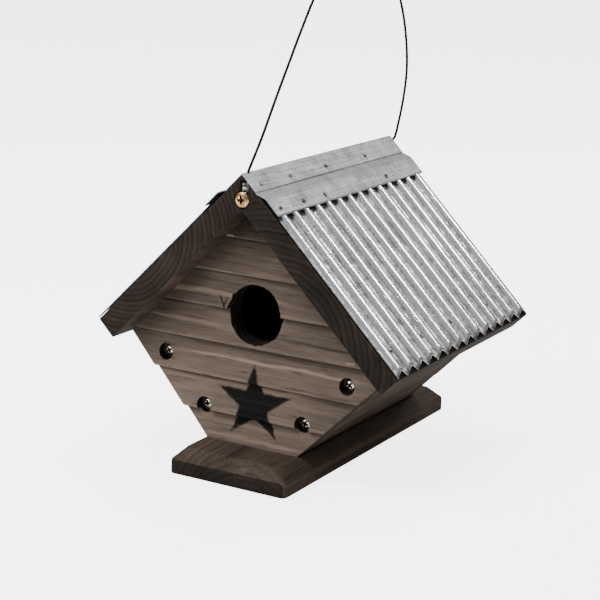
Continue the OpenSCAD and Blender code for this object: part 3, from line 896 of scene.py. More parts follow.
@dataclass
class Piece:
    """What a finished piece is called, stands for and wears.

    Attributes:
        name: The piece's name.
        nodes: CAD nodes that it stands for.
        slot: The record's material slot; not used.
        body: The body it rides on.
        crease: Edges that turn more than this, in degrees, stay sharp in the shading.
    """

    name: str
    nodes: tuple[str, ...]
    slot: str
    body: str = HOUSE
    crease: float = 32.0

    def place(self, bm: bmesh.types.BMesh, *materials: bpy.types.Material,
              choose: Callable[[bmesh.types.BMFace], int] | None = None) -> bpy.types.Object:
        """Turns a mesh into the piece, dresses it and ties it to its body.

        Args:
            bm: The mesh, which is freed.
            *materials: Its materials.
            choose: Gives a face's material index, or None for the first material all over.

        Returns:
            The piece's object.
        """
        if choose is not None:
            bm.normal_update()
            for face in bm.faces:
                face.material_index = choose(face)
        for face in bm.faces:
            face.smooth = True
        mesh = bpy.data.meshes.new(self.name)
        bm.to_mesh(mesh)
        bm.free()
        mesh.set_sharp_from_angle(angle=math.radians(self.crease))
        for material in materials:
            mesh.materials.append(material)
        thing = bpy.data.objects.new(self.name, mesh)
        bpy.context.scene.collection.objects.link(thing)
        return self.tie(thing)

    def tie(self, thing: bpy.types.Object) -> bpy.types.Object:
        """Ties an object to its body, hides the CAD nodes that it stands for, and reports it."""
        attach(thing, self.body)
        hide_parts(*self.nodes)
        LOG.info("%s stands for %s on %s", self.name, ", ".join(self.nodes), self.body)
        return thing


# ---------------------------------------------------------------- measures


@dataclass(frozen=True)
class Measures:
    """The sizes that the pieces share, in metres, taken from the frame.

    Attributes:
        apex: Height of the wooden apex.
        roof_front: Y of the roof's front end.
        roof_back: Y of its back end.
        slopes: Width of each roof board down its slope.
        board: Thickness of the roof boards.
        body_front: Y of the front panel's proud lips.
        body_back: Y of the back panel's.
        panel: Thickness of a gable panel.
        eave: (x, z) where a side wall meets the roof.
        inner_apex: Height of the underside of the ridge.
        base_low: Lowest corner of the base board.
        base_high: Highest corner of the base board.
        foot: Half width of the body on the base.
        wall: Thickness of the side walls.
    """

    apex: float
    roof_front: float
    roof_back: float
    slopes: dict[Side, float]
    board: float
    body_front: float
    body_back: float
    panel: float
    eave: tuple[float, float]
    inner_apex: float
    base_low: Vector
    base_high: Vector
    foot: float = 33.0 * MM
    wall: float = 18.0 * MM

    @classmethod
    def taken(cls) -> "Measures":
        """The measures as the frame has them."""
        left_low, left_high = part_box("left_roof_board")
        _, right_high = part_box("right_roof_board")
        front_low, front_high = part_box("front_panel")
        base_low, base_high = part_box("base_board")
        _, back_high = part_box("back_panel")
        left = -left_low.x / ROOT
        eave = (front_high.x, base_high.z + front_high.x - cls.foot)
        return cls(
            apex=left_high.z, roof_front=left_low.y, roof_back=left_high.y,
            slopes={Side.LEFT: left, Side.RIGHT: right_high.x / ROOT},
            board=(left_high.z - left * ROOT - left_low.z) / ROOT,
            body_front=front_low.y, body_back=back_high.y, panel=front_high.y - front_low.y,
            eave=eave, inner_apex=front_high.z, base_low=base_low, base_high=base_high)

    def on_slope(self, side: Side, down: float, out: float) -> tuple[float, float]:
        """The (x, z) of a point of the roof.

        Args:
            side: The side of the roof.
            down: Distance down the slope from the apex.
            out: Distance out of the wood.

        Returns:
            Its x and z.
        """
        return side.value * (down + out) * ROOT, self.apex - (down - out) * ROOT


# ---------------------------------------------------------------- the wooden parts


@dataclass
class BaseBoard:
    """The plank the house stands on.

    Attributes:
        size: The shared measures.
        chamfer: Width of the chamfer round its top.
        corner: Radius of its upright corners.
        wear: Softening of its edges.
        sink: Depth of the sinks for the screw heads.
        play: Room round a screw head.
    """

    size: Measures
    chamfer: float = 7.5 * MM
    corner: float = 4.0 * MM
    wear: float = 0.7 * MM
    sink: float = 2.6 * MM
    play: float = 0.1 * MM

    def finish(self) -> Wood:
        """The wood of the plank, whose pith lies below its right side."""
        return Wood("base_wood", Axis.Y, (12.0, 0.0, -26.0), ring=4.0, rings=0.15,
                    bright=-0.08, end_shade=0.32)

    def build(self) -> bpy.types.Object:
        """Builds the plank."""
        low, high = self.size.base_low, self.size.base_high
        bm = block(low, high)
        top = [e for e in bm.edges if all(v.co.z > high.z - 1e-6 for v in e.verts)]
        bevel(bm, top, self.chamfer, 1)
        upright = [e for e in bm.edges if abs(e.verts[0].co.z - e.verts[1].co.z) > 1e-6]
        bevel(bm, upright, self.corner, 5)
        bevel(bm, sharp(bm, 24.0), self.wear, 2)
        slice_up(bm, Axis.Y, 9.0 * MM)
        wander(bm, 0.3 * MM, (35.0, 14.0, 60.0), 3.1)
        sinks = []
        for group in islands("base_screws"):
            start, end = spread(group)
            x, y, _ = (start + end) / 2
            sinks.append(rod((end.x - start.x) / 2 + self.play, Vector((x, y, low.z - MM)),
                             Vector((x, y, low.z + self.sink))))
        bm = cut(bm, sinks)
        wood = self.finish()
        return Piece("base_plank", ("base_board",), "stained_wood").place(
            bm, wood.material(False), wood.material(True), choose=end_faces(Axis.Y))


def end_faces(axis: Axis, least: float = 0.8) -> Callable[[bmesh.types.BMFace], int]:
    """A choice of material: 1 for faces that look along the grain, 0 for the others."""
    return lambda face: int(abs(face.normal[axis.value]) > least)


@dataclass
class SideWalls:
    """The two slanted walls between the gable panels.

    Attributes:
        size: The shared measures.
        wear: Softening of their edges.
    """

    size: Measures
    wear: float = 0.4 * MM

    def section(self, side: Side) -> list[tuple[float, float]]:
        """The corners of a wall's end."""
        foot, floor = self.size.foot, self.size.base_high.z
        x, z = self.size.eave
        inwards = self.size.wall * ROOT
        points = [(foot, floor), (x, z), (x - inwards, z + inwards), (foot - self.size.wall / ROOT, floor)]
        return [(side.value * a, b) for a, b in points]

    def build(self) -> list[bpy.types.Object]:
        """Builds both walls."""
        made = []
        for side, seed in ((Side.LEFT, 1.7), (Side.RIGHT, 8.2)):
            word = side.name.lower()
            bm = prism(self.section(side), Axis.Y, self.size.body_front + self.size.panel,
                       self.size.body_back - self.size.panel)
            bevel(bm, sharp(bm), self.wear, 2)
            slice_up(bm, Axis.Y, 9.0 * MM)
            wander(bm, 0.15 * MM, (30.0, 12.0, 30.0), seed)
            wood = Wood(word + "_wall_wood", Axis.Y, (side.value * 20.0, 0.0, 96.0), ring=4.6,
                        bright=0.04, end_shade=0.6)
            piece = Piece(word + "_wall_board", (word + "_wall",), "stained_wood")
            made.append(piece.place(bm, wood.material(False), wood.material(True), choose=end_faces(Axis.Y)))
        return made


@dataclass
class RoofBoards:
    """The two boards of the roof; the left one laps over the upper edge of the right one.

    Attributes:
        size: The shared measures.
        wear: Softening of their edges.
        pocket: Depth of the pocket for the screw head and the sleeve.
    """

    size: Measures
    wear: float = 0.9 * MM
    pocket: float = 4.4 * MM

    def section(self, side: Side) -> list[tuple[float, float]]:
        """The corners of a board's end."""
        at = self.size.on_slope
        lap = at(Side.RIGHT, self.size.board, 0.0)
        slope = self.size.slopes[side]
        eave = [at(side, slope, 0.0), at(side, slope, -self.size.board)]
        if side is Side.LEFT:
            return [at(side, 0.0, 0.0), *eave, lap]
        return [lap, *eave, (0.0, self.size.inner_apex)]

    def cutters(self) -> list[bmesh.types.BMesh]:
        """The pocket round the front screw, the sleeve's room and the cable's way up."""
        low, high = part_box("front_ridge_screw")
        sleeve_low, sleeve_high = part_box("front_ferrule")
        middle = (low + high) / 2
        front = self.size.roof_front
        head = rod((high.x - low.x) / 2 + 0.5 * MM, Vector((middle.x, front - MM, middle.z)),
                   Vector((middle.x, front + self.pocket, middle.z)))
        room = block(Vector((sleeve_low.x - 0.3 * MM, front - MM, middle.z)),
                     Vector((sleeve_high.x + 0.3 * MM, front + self.pocket, sleeve_high.z + 1.8 * MM)))
        way = rod(1.8 * MM, Vector((0.1 * MM, sleeve_low.y + 0.6 * MM, sleeve_high.z - MM)),
                  Vector((0.1 * MM, front + 9.6 * MM, self.size.apex + 4 * MM)), 20)
        return [head, room, way]

    def under_sheet_shade(self, side: Side) -> Callable[[bmesh.types.BMFace], int]:
        """A choice of material: 2 on the slope under the metal, which is painted dark as shade, 1 on end
        grain and 0 elsewhere.
        """
        out, ends = Vector((side.value * ROOT, 0.0, ROOT)), end_faces(Axis.Y)
        return lambda face: 2 if face.normal.dot(out) > 0.8 else ends(face)

    def finish(self, side: Side) -> Wood:
        """The wood of a board."""
        if side is Side.LEFT:
            return Wood("left_roof_wood", Axis.Y, (-88.0, 0.0, 150.0), ring=3.4, rings=0.2,
                        bright=-0.04, end_shade=0.36)
        return Wood("right_roof_wood", Axis.Y, (22.0, 0.0, 92.0), ring=3.8, rings=0.2,
                    bright=-0.08, end_shade=0.3)

    def build(self) -> list[bpy.types.Object]:
        """Builds both boards."""
        made = []
        for side, seed in ((Side.LEFT, 4.4), (Side.RIGHT, 6.9)):
            word = side.name.lower()
            bm = prism(self.section(side), Axis.Y, self.size.roof_front, self.size.roof_back)
            bevel(bm, sharp(bm), self.wear, 3)
            slice_up(bm, Axis.Y, 9.0 * MM)
            wander(bm, 0.25 * MM, (30.0, 14.0, 30.0), seed)
            bm = cut(bm, self.cutters())
            wood = self.finish(side)
            # wood under the sheet painted near black as shade, as it shows between the eave's teeth
            under_sheet_shade = Wood(word + "_covered_wood", Axis.Y, wood.pith, light=(0.007, 0.0055, 0.0045),
                           bright=-0.3)
            piece = Piece(word + "_roof_plank", (word + "_roof_board",), "stained_wood")
            made.append(piece.place(bm, wood.material(False), wood.material(True), under_sheet_shade.material(False),
                                    choose=self.under_sheet_shade(side)))
        return made


@dataclass
class GablePanels:
    """The front and back panels, cut from lapped siding.

    Attributes:
        size: The shared measures.
        course: Height of one course.
        first_lip: Height of the lowest lip.
        lip: Depth of the step under each lip.
        hole: Radius of the entrance hole.
        hole_height: Height of its middle.
        lip_round: Softening of each lip.
        sink: Radius of the counterbores.
        sink_depth: Their depth behind the lips.
    """

    size: Measures
    course: float = 22.9 * MM
    first_lip: float = 35.0 * MM
    lip: float = 3.5 * MM
    hole: float = 19.0 * MM
    hole_height: float = 102.5 * MM
    lip_round: float = 1.3 * MM
    sink: float = 5.4 * MM
    sink_depth: float = 7.5 * MM

    def siding(self, face: float, inner: float) -> bmesh.types.BMesh:
        """The siding as a plank as wide as the panel, with softened lips.

        Args:
            face: Y of the proud lips.
            inner: Y of the flat inner face.

        Returns:
            The plank.
        """
        into = math.copysign(1.0, inner - face)
        section = []
        count = math.ceil((self.size.apex - self.first_lip) / self.course) + 1
        for k in range(-1, count + 1):
            section.append((face, self.first_lip + k * self.course))
            section.append((face + into * self.lip, self.first_lip + (k + 1) * self.course))
        section += [(inner, section[-1][1]), (inner, section[0][1])]
        wide = self.size.eave[0] + MM
        bm = prism(section, Axis.X, -wide, wide)
        lips = [e for e in bm.edges if all(abs(v.co.y - face) < 1e-6 for v in e.verts)
                and abs(e.verts[0].co.x - e.verts[1].co.x) > MM]
        bevel(bm, lips, self.lip_round, 4)
        slice_up(bm, Axis.X, 4.0 * MM)
        wander(bm, 0.25 * MM, (24.0, 10.0, 70.0), 2.0 + into)
        return bm

    def trim(self, bm: bmesh.types.BMesh) -> None:
        """Cuts the plank to the outline of the gable and closes the cuts."""
        floor = self.size.base_high.z
        x, z = self.size.eave
        planes = [(Vector((0, 0, floor)), Vector((0, 0, -1)))]
        for side in (-1.0, 1.0):
            planes.append((Vector((side * x, 0, z)), Vector((side * ROOT, 0, ROOT))))
            planes.append((Vector((side * x, 0, z)), Vector((side * ROOT, 0, -ROOT))))
        for at, away in planes:
            geom = bm.verts[:] + bm.edges[:] + bm.faces[:]
            made = bmesh.ops.bisect_plane(bm, geom=geom, dist=1e-7, plane_co=at, plane_no=away,
                                          clear_outer=True)
            rim = [e for e in made["geom_cut"] if isinstance(e, bmesh.types.BMEdge)]
            bmesh.ops.contextual_create(bm, geom=rim)
        bmesh.ops.recalc_face_normals(bm, faces=bm.faces)

    def hole_cutter(self) -> bmesh.types.BMesh:
        """The entrance hole's cutter: round, with a torn rim."""
        face = self.size.body_front
        centre = Vector((0.0, face, self.hole_height))
        past = 4 * MM
        bm = rod(self.hole, centre - Vector((0, past, 0)),
                 centre + Vector((0, self.size.panel + past, 0)), 96)
        sides = [e for e in bm.edges if abs(e.verts[0].co.y - e.verts[1].co.y) > MM]
        bmesh.ops.subdivide_edges(bm, edges=sides, cuts=24, use_grid_fill=True)
        chips = ((-2.0, 1.9, 6.0), (176.0, 1.3, 9.0), (146.0, 1.6, 5.0), (205.0, 1.2, 7.0),
                 (-38.0, 1.2, 12.0), (62.0, 0.9, 6.0))
        for v in bm.verts:
            out = Vector((v.co.x, 0.0, v.co.z - self.hole_height))
            if out.length < MM:
                continue
            turn = math.degrees(math.atan2(out.z, out.x))
            depth = (v.co.y - face) / MM
            torn = max(0.0, 1.0 - max(0.0, depth) / 5.0)
            grow = 0.5 * MM * noise.noise(Vector((out.x * 420, v.co.y * 90, out.z * 420))) * (0.4 + torn)
            for angle, size, width in chips:
                off = abs((turn - angle + 180.0) % 360.0 - 180.0)
                grow += size * MM * max(0.0, 1.0 - off / width) * torn
            v.co += out.normalized() * grow
        return bm

    def screw_places(self, node: str) -> list[Vector]:
        """The middle of each screw of a panel."""
        return [sum(spread(group), Vector()) / 2 for group in islands(node)]

    def cutters(self, end: End, face: float) -> list[bmesh.types.BMesh]:
        """The counterbores, and the entrance hole of the front panel."""
        node = end.name.lower() + "_panel_screws"
        deep = face - end.value * self.sink_depth
        proud = face + end.value * 2 * MM
        tools = [rod(self.sink, Vector((at.x, proud, at.z)), Vector((at.x, deep, at.z)), 40)
                 for at in self.screw_places(node)]
        return [self.hole_cutter(), *tools] if end is End.FRONT else tools

    def shaded_bore(self, end: End) -> Callable[[bmesh.types.BMFace], int]:
        """A choice of material: 2 inside the holes, end grain painted darker as shade, 1 on end grain and 0
        elsewhere.
        """
        holes = [(at.x, at.z, self.sink) for at in self.screw_places(end.name.lower() + "_panel_screws")]
        if end is End.FRONT:
            holes.append((0.0, self.hole_height, self.hole + 2.0 * MM))
        ends = end_faces(Axis.X, 0.6)

        def choose(face: bmesh.types.BMFace) -> int:
            """The material index of a face."""
            at = face.calc_center_median()
            inside = any(math.hypot(at.x - x, at.z - z) < reach + 0.4 * MM for x, z, reach in holes)
            return 2 if inside and abs(face.normal.y) < 0.7 else ends(face)

        return choose

    def marks(self) -> tuple[Mark, ...]:
        """The streaks on the front panel."""
        return (
            Mark(-30.0, 112.5, 110.0, 2.4, 0.42), Mark(8.0, 72.0, 150.0, 1.8, 0.34),
            Mark(-20.0, 55.0, 120.0, 1.8, 0.30), Mark(0.0, 21.0, 80.0, 2.0, 0.3),
            Mark(-23.6, 108.0, 4.6, 1.9, -0.55, -1.7), Mark(-21.4, 107.6, 3.0, 2.6, -0.4, 2.2),
            Mark(40.0, 90.0, 70.0, 1.6, -0.25),
            Mark(-19.0, 150.7, 7.0, 0.9, 1.0), Mark(68.7, 83.3, 6.0, 0.9, 0.9),
            Mark(-55.0, 92.0, 60.0, 1.6, 0.25), Mark(45.0, 60.0, 60.0, 1.4, -0.22),
        )

    def build(self) -> list[bpy.types.Object]:
        """Builds both panels."""
        made = []
        for end in (End.FRONT, End.BACK):
            word = end.name.lower()
            face = self.size.body_front if end is End.FRONT else self.size.body_back
            inner = face - end.value * self.size.panel
            bm = self.siding(face, inner)
            self.trim(bm)
            bm = cut(bm, self.cutters(end, face))
            # the panel's wood, with a painted light falloff, painted shade under the lips and the roof, and a
            # painted highlight along each lip
            wood = Wood(word + "_panel_wood", Axis.X, (0.0, face / MM - end.value * 60.0, 60.0), (0.8, 1.2),
                        ring=3.4, light=(0.215, 0.161, 0.124), rings=0.06, streaks=0.17, fibres=0.42,
                        bright=0.14, end_shade=0.4, painted_falloff=(-1.5, 0.0, -0.9),
                        course=(self.first_lip, self.course), shade_ridge_height=self.size.inner_apex)
            star = Star((0.3 * MM, 45.0 * MM), (28.0 * MM, 25.3 * MM)) if end is End.FRONT else None
            marks = self.marks() if end is End.FRONT else ()
            reach = face + self.lip + 1.5 * MM
            skin = wood.material(False, marks, star, reach)
            # end grain inside the holes and counterbores, darkened further by painted shade
            shaded_bore = Wood(word + "_bored_wood", Axis.X, wood.pith, end_shade=0.22, bright=-0.1)
            piece = Piece(word + "_gable_panel", (word + "_panel",), "stained_wood")
            made.append(piece.place(bm, skin, wood.material(True), shaded_bore.material(True),
                                    choose=self.shaded_bore(end)))
        return made


# ---------------------------------------------------------------- the roof metal


@dataclass
class RoofSheets:
    """The two corrugated sheets.

    Attributes:
        size: The shared measures.
        pitch: Distance from crest to crest.
        rise: Height of the crests over the wood.
        gauge: Thickness of the sheet.
        top: Distance of the upper edge down the slope.
        eave_gap: Gap from the wood's edge to the tips.
        cutback: How far the crests are cut back from the tips.
        edge_lift: How far the front edge of the left and the right sheet has sprung off the wood.
        rib_steps: Steps across one rib.
        slope_steps: Steps down the slope.
    """

    size: Measures
    pitch: float = 13.5 * MM
    rise: float = 2.7 * MM
    gauge: float = 0.5 * MM
    top: float = 22.5 * MM
    eave_gap: float = 0.5 * MM
    cutback: float = 4.0 * MM
    edge_lift: tuple[float, float] = (0.7 * MM, 1.1 * MM)
    rib_steps: int = 12
    slope_steps: int = 44

    def rib_count(self) -> int:
        """How many whole ribs fit on the roof."""
        return math.floor((self.size.roof_back - self.size.roof_front) / self.pitch)

    def front(self) -> float:
        """Y of the sheet's front edge."""
        wide = self.rib_count() * self.pitch
        return (self.size.roof_front + self.size.roof_back - wide) / 2

    def height(self, side: Side, y: float, down: float, seed: float) -> float:
        """How far the sheet's middle stands out of the wood.

        Args:
            side: The side of the roof.
            y: Place along the roof.
            down: Place down the slope.
            seed: Tells the two sheets apart.

        Returns:
            The height, within the ribs' own.
        """
        share = (y - self.front()) / self.pitch
        crest = 0.5 - 0.5 * math.cos(math.tau * share)
        crest = crest ** 0.85
        soft = noise.noise(Vector((share * 0.9 + seed, down * 24.0, seed)))
        dent = noise.noise(Vector((share * 2.3, down * 60.0 + seed, 4.0)))
        tall = (self.rise - self.gauge) * (1.0 - 0.10 * max(0.0, soft) - 0.12 * max(0.0, dent - 0.25))
        lift = self.edge_lift[0] if side is Side.LEFT else self.edge_lift[1]
        sprung = lift * max(0.0, 1.0 - 3.0 * share)
        return self.gauge / 2 + max(tall * crest, sprung)

    def build_side(self, side: Side, seed: float) -> bpy.types.Object:
        """Builds one sheet.

        Args:
            side: The side of the roof.
            seed: Tells the two sheets apart.

        Returns:
            The sheet.
        """
        count = self.rib_count()
        low = self.size.slopes[side] - self.eave_gap
        bm = bmesh.new()
        bmesh.ops.create_grid(bm, x_segments=self.slope_steps, y_segments=count * self.rib_steps, size=0.5)
        for v in bm.verts:
            share, y = v.co.x + 0.5, self.front() + (v.co.y + 0.5) * count * self.pitch
            phase = (y - self.front()) / self.pitch
            crest = 1.0 - abs(2.0 * (phase % 1.0) - 1.0)
            edge = low - self.cutback * crest - 0.35 * MM * noise.noise(Vector((phase * 2.0, seed, 0.0)))
            edge = min(edge, low)
            down = self.top + share * (edge - self.top)
            side_sway = 0.35 * MM * noise.noise(Vector((phase * 0.7, down * 9.0, seed)))
            keep = min(1.0, phase, count - phase)
            x, z = self.size.on_slope(side, down, self.height(side, y, down, seed))
            v.co = Vector((x, y + side_sway * keep, z))
        bmesh.ops.recalc_face_normals(bm, faces=bm.faces)
        if sum(f.normal.z for f in bm.faces) < 0:
            bmesh.ops.reverse_faces(bm, faces=bm.faces)
        word = side.name.lower()
        piece = Piece(word + "_corrugated_sheet", (word + "_roof_sheet",), "galvanised_sheet", crease=60.0)
        finish = Galvanised(word + "_galvanised_sheet", turn=-45.0 * side.value, scratch=Axis.X,
                            seat=self.size.apex * ROOT, crest=self.rise)
        sheet = piece.place(bm, finish.material())
        thick = sheet.modifiers.new("gauge", "SOLIDIFY")
        thick.thickness = self.gauge
        thick.offset = 0.0
        return sheet

    def build(self) -> list[bpy.types.Object]:
        """Builds both sheets."""
        return [self.build_side(Side.LEFT, 2.6), self.build_side(Side.RIGHT, 7.3)]


@dataclass
class RidgeCap:
    """The bent strip over the ridge, stepped up where it climbs on to the ribs.

    Attributes:
        size: The shared measures.
        flat: Width of each flange that lies on the wood.
        step: Width of the step.
        lift: Height of the flange over the ribs.
        groove: Depth of the pressed line at the foot of the step.
        flange: Width of each flange.
        gauge: Thickness of the strip.
        length_steps: Steps along the ridge.
    """

    size: Measures
    flat: float = 14.0 * MM
    step: float = 8.0 * MM
    lift: float = 2.75 * MM
    groove: float = 0.5 * MM
    flange: float = CAP_FLANGE
    gauge: float = 0.7 * MM
    length_steps: int = 90

    def profile(self, down: float) -> float:
        """Height of the strip's middle over the wood at a distance down the slope."""
        share = min(1.0, max(0.0, (down - self.flat) / self.step))
        eased = share * share * (3.0 - 2.0 * share)
        pressed = max(0.0, 1.0 - abs(down - self.flat - 0.8 * MM) / (0.6 * MM))
        return self.gauge / 2 + self.lift * eased - self.groove * pressed

    def build(self) -> bpy.types.Object:
        """Builds the strip."""
        run = [0.0, 3.0, 7.0, 11.0, 13.2, 14.2, 14.5, 14.8, 15.1, 15.4, 16.2, 17.5, 19.0, 20.5, 22.0, 24.0,
               27.0, 30.0, 33.0, 34.0]
        across = [(Side.LEFT, d * MM) for d in reversed(run[1:])] + [(Side.RIGHT, d * MM) for d in run]
        front, back = self.size.roof_front, self.size.roof_back
        bm = bmesh.new()
        bmesh.ops.create_grid(bm, x_segments=len(across) - 1, y_segments=self.length_steps, size=0.5)
        for v in bm.verts:
            side, down = across[round((v.co.x + 0.5) * (len(across) - 1))]
            y = front + (v.co.y + 0.5) * (back - front)
            loose = max(0.0, down - self.flat) / (self.flange - self.flat)
            buckle = noise.noise(Vector((y * 38.0, side.value * 3.0, down * 20.0)))
            ripple = noise.noise(Vector((y * 90.0, down * 60.0, 5.0)))
            sink = 0.22 * MM * max(0.0, buckle) * loose + 0.1 * MM * max(0.0, ripple)
            out = max(-self.gauge / 4, self.profile(down) - sink)
            if down < 1e-6:
                v.co = Vector((0.0, y, self.size.apex + self.gauge * ROOT))
                continue
            x, z = self.size.on_slope(side, down, out)
            v.co = Vector((x, y, z))
        if sum(f.normal.z for f in bm.faces) < 0:
            bmesh.ops.reverse_faces(bm, faces=bm.faces)
        bmesh.ops.solidify(bm, geom=bm.faces[:], thickness=self.gauge)
        piece = Piece("ridge_flashing", ("ridge_cap",), "galvanised_sheet", crease=50.0)
        return piece.place(bm, CAP.material())


# ---------------------------------------------------------------- fasteners


@dataclass
class RoofNails:
    """The small nails of the roof metal, with domed heads.

    Attributes:
        head: Radius of the head.
        rise: Height of the head.
        shank: Radius of the shank.
    """

    head: float = 1.5 * MM
    rise: float = 0.5 * MM
    shank: float = 0.7 * MM

    def nail(self, length: float) -> bmesh.types.BMesh:
        """One nail along Z with the top of its head at 0."""
        r, h, s = self.head, self.rise, self.shank
        profile = [(0.0, -length), (s * 0.4, -length + s), (s, -length + 3 * s), (s, -h), (r * 0.96, -h),
                   (r, -h * 0.75), (r * 0.92, -h * 0.42), (r * 0.7, -h * 0.16), (r * 0.4, -h * 0.04),
                   (0.0, 0.0)]
        return ring_solid(profile, 20)

    def build(self, name: str, node: str, finish: Metal) -> bpy.types.Object:
        """Builds the nails of a node where the frame has them.

        Args:
            name: The piece's name.
            node: The CAD node.
            finish: Their metal.

        Returns:
            The nails as one piece.
        """
        nails = []
        for group in islands(node):
            side = 1.0 if sum(p.x for p in group) > 0 else -1.0
            out = Vector((side * ROOT, 0.0, ROOT))
            heights = [p.dot(out) for p in group]
            top, low = max(heights), min(heights)
            rim = [p for p, h in zip(group, heights) if h > top - 0.05 * MM]
            at = sum(rim, Vector()) / len(rim)
            turn = out.to_track_quat("Z", "Y").to_matrix().to_4x4()
            nail = self.nail(top - low)
            bmesh.ops.transform(nail, matrix=Matrix.Translation(at) @ turn, verts=nail.verts)
            nails.append(nail)
        return Piece(name, (node,), "zinc_steel", crease=40.0).place(joined(nails), finish.material())


@dataclass
class CrossScrew:
    """A screw with a domed head and a cross recess.

    Attributes:
        shank: Radius of the shank.
        head: Radius of the head.
        rise: Height of the head.
        length: Length under the head.
        slot: Width of the recess's arms.
        pitch: Distance between threads.
    """

    shank: float
    head: float
    rise: float
    length: float
    slot: float
    pitch: float = 1.6 * MM

    def solid(self) -> bmesh.types.BMesh:
        """The screw along Z, its head's underside at 0."""
        r, h, s = self.head, self.rise, self.shank
        profile = [(0.0, -self.length), (s * 0.5, -self.length + s)]
        turns = math.floor((self.length - 3 * s) / self.pitch) - 3
        for k in range(turns):
            z = -self.length + 2 * s + k * self.pitch
            profile += [(s * 0.78, z), (s, z + self.pitch * 0.45), (s * 0.78, z + self.pitch * 0.6)]
        profile += [(s * 0.95, -2 * s), (s * 0.95, 0.0), (r * 0.97, 0.0), (r, h * 0.1), (r * 0.99, h * 0.3),
                    (r * 0.94, h * 0.52), (r * 0.84, h * 0.72), (r * 0.68, h * 0.87), (r * 0.45, h * 0.96),
                    (r * 0.2, h), (0.0, h)]
        return ring_solid(profile, 40)

    def recess(self) -> list[bmesh.types.BMesh]:
        """The cross that is cut into the head: two tapered arms, deeper in the middle."""
        arms = []
        reach, deep, wide = self.head * 0.62, self.rise * 0.85, self.slot / 2
        for turn in (0.0, math.pi / 2):
            bm = bmesh.new()
            bmesh.ops.create_cube(bm, size=1.0)
            for v in bm.verts:
                top = v.co.z > 0
                v.co = Vector((math.copysign(reach if top else reach * 0.28, v.co.x),
                               math.copysign(wide if top else wide * 0.55, v.co.y),
                               self.rise + 0.2 * MM if top else self.rise - deep))
            bmesh.ops.rotate(bm, cent=(0, 0, 0), matrix=Matrix.Rotation(turn, 3, "Z"), verts=bm.verts)
            arms.append(bm)
        return arms

    def made(self, seat: Vector, out: Vector, turn: float) -> bmesh.types.BMesh:
        """The finished screw in its place.

        Args:
            seat: Where the underside of its head rests.
            out: The way its head faces.
            turn: How far it was driven round, in degrees.

        Returns:
            The screw's mesh.
        """
        bm = cut(self.solid(), self.recess())
        for face in bm.faces:
            at = face.calc_center_median()
            share = math.hypot(at.x, at.y) / self.head
            domed = self.rise * (1.0 - 0.55 * share ** 3) - 0.1 * MM
            # faces inside the cross recess get the second material, painted shade
            face.material_index = int(share < 0.64 and self.rise * 0.1 < at.z < domed)
        driven = Matrix.Rotation(math.radians(turn), 3, "Z")
        bmesh.ops.rotate(bm, cent=(0, 0, 0), matrix=driven, verts=bm.verts)
        facing = out.to_track_quat("Z", "Y").to_matrix().to_4x4()
        bmesh.ops.transform(bm, matrix=Matrix.Translation(seat) @ facing, verts=bm.verts)
        return bm


@dataclass
class Screws:
    """The screws of the panels and of the ridge, placed where the frame has them."""

    size: Measures

    def driven(self, node: str, end: End, slot: float, turns: Sequence[float]) -> bmesh.types.BMesh:
        """The screws of a node.

        Args:
            node: The CAD node.
            end: The end of the house that they are driven into.
            slot: Width of their recess's arms.
            turns: How far round each was driven, in degrees.

        Returns:
            All of them as one mesh.
        """
        screws = []
        for turn, group in zip(turns, islands(node)):
            low, high = spread(group)
            head = (high.x - low.x) / 2
            crown = [p for p in group if abs(p.x - (low.x + high.x) / 2) < head * 0.6]
            thin = [p for p in group if end.value * p.y < end.value * (low.y + high.y) / 2]
            shank = (max(p.x for p in thin) - min(p.x for p in thin)) / 2
            top = max(end.value * p.y for p in crown)
            under = min(end.value * p.y for p in group if abs(p.x - low.x) < 0.05 * MM)
            length = under - min(end.value * p.y for p in group)
            seat = Vector(((low.x + high.x) / 2, under * end.value, (low.z + high.z) / 2))
            screw = CrossScrew(shank, head, top - under, length, slot)
            screws.append(screw.made(seat, Vector((0.0, end.value, 0.0)), turn))
        return joined(screws)

    def build(self) -> list[bpy.types.Object]:
        """Builds every screw that shows."""
        steel = (STEEL.material(), STEEL_RECESS_SHADE.material())
        brass = (BRASS.material(), BRASS_RECESS_SHADE.material())
        rows = (
            ("front_panel_screws", End.FRONT, 1.5 * MM, (32.0, 58.0, 12.0, 70.0), "zinc_steel", steel),
            ("back_panel_screws", End.BACK, 1.5 * MM, (15.0, 77.0, 40.0, 5.0), "zinc_steel", steel),
            ("front_ridge_screw", End.FRONT, 1.9 * MM, (8.0,), "brass", brass),
            ("rear_ridge_screw", End.BACK, 1.9 * MM, (52.0,), "brass", brass),
        )
        made = []
        for node, end, slot, turns, material_slot, metals in rows:
            piece = Piece(node + "_driven", (node,), material_slot, crease=38.0)
            made.append(piece.place(self.driven(node, end, slot, turns), *metals))
        return made


# ---------------------------------------------------------------- the hanger


def rope_word(end: End) -> str:
    """What the frame calls an end of the cable."""
    return "front" if end is End.FRONT else "rear"


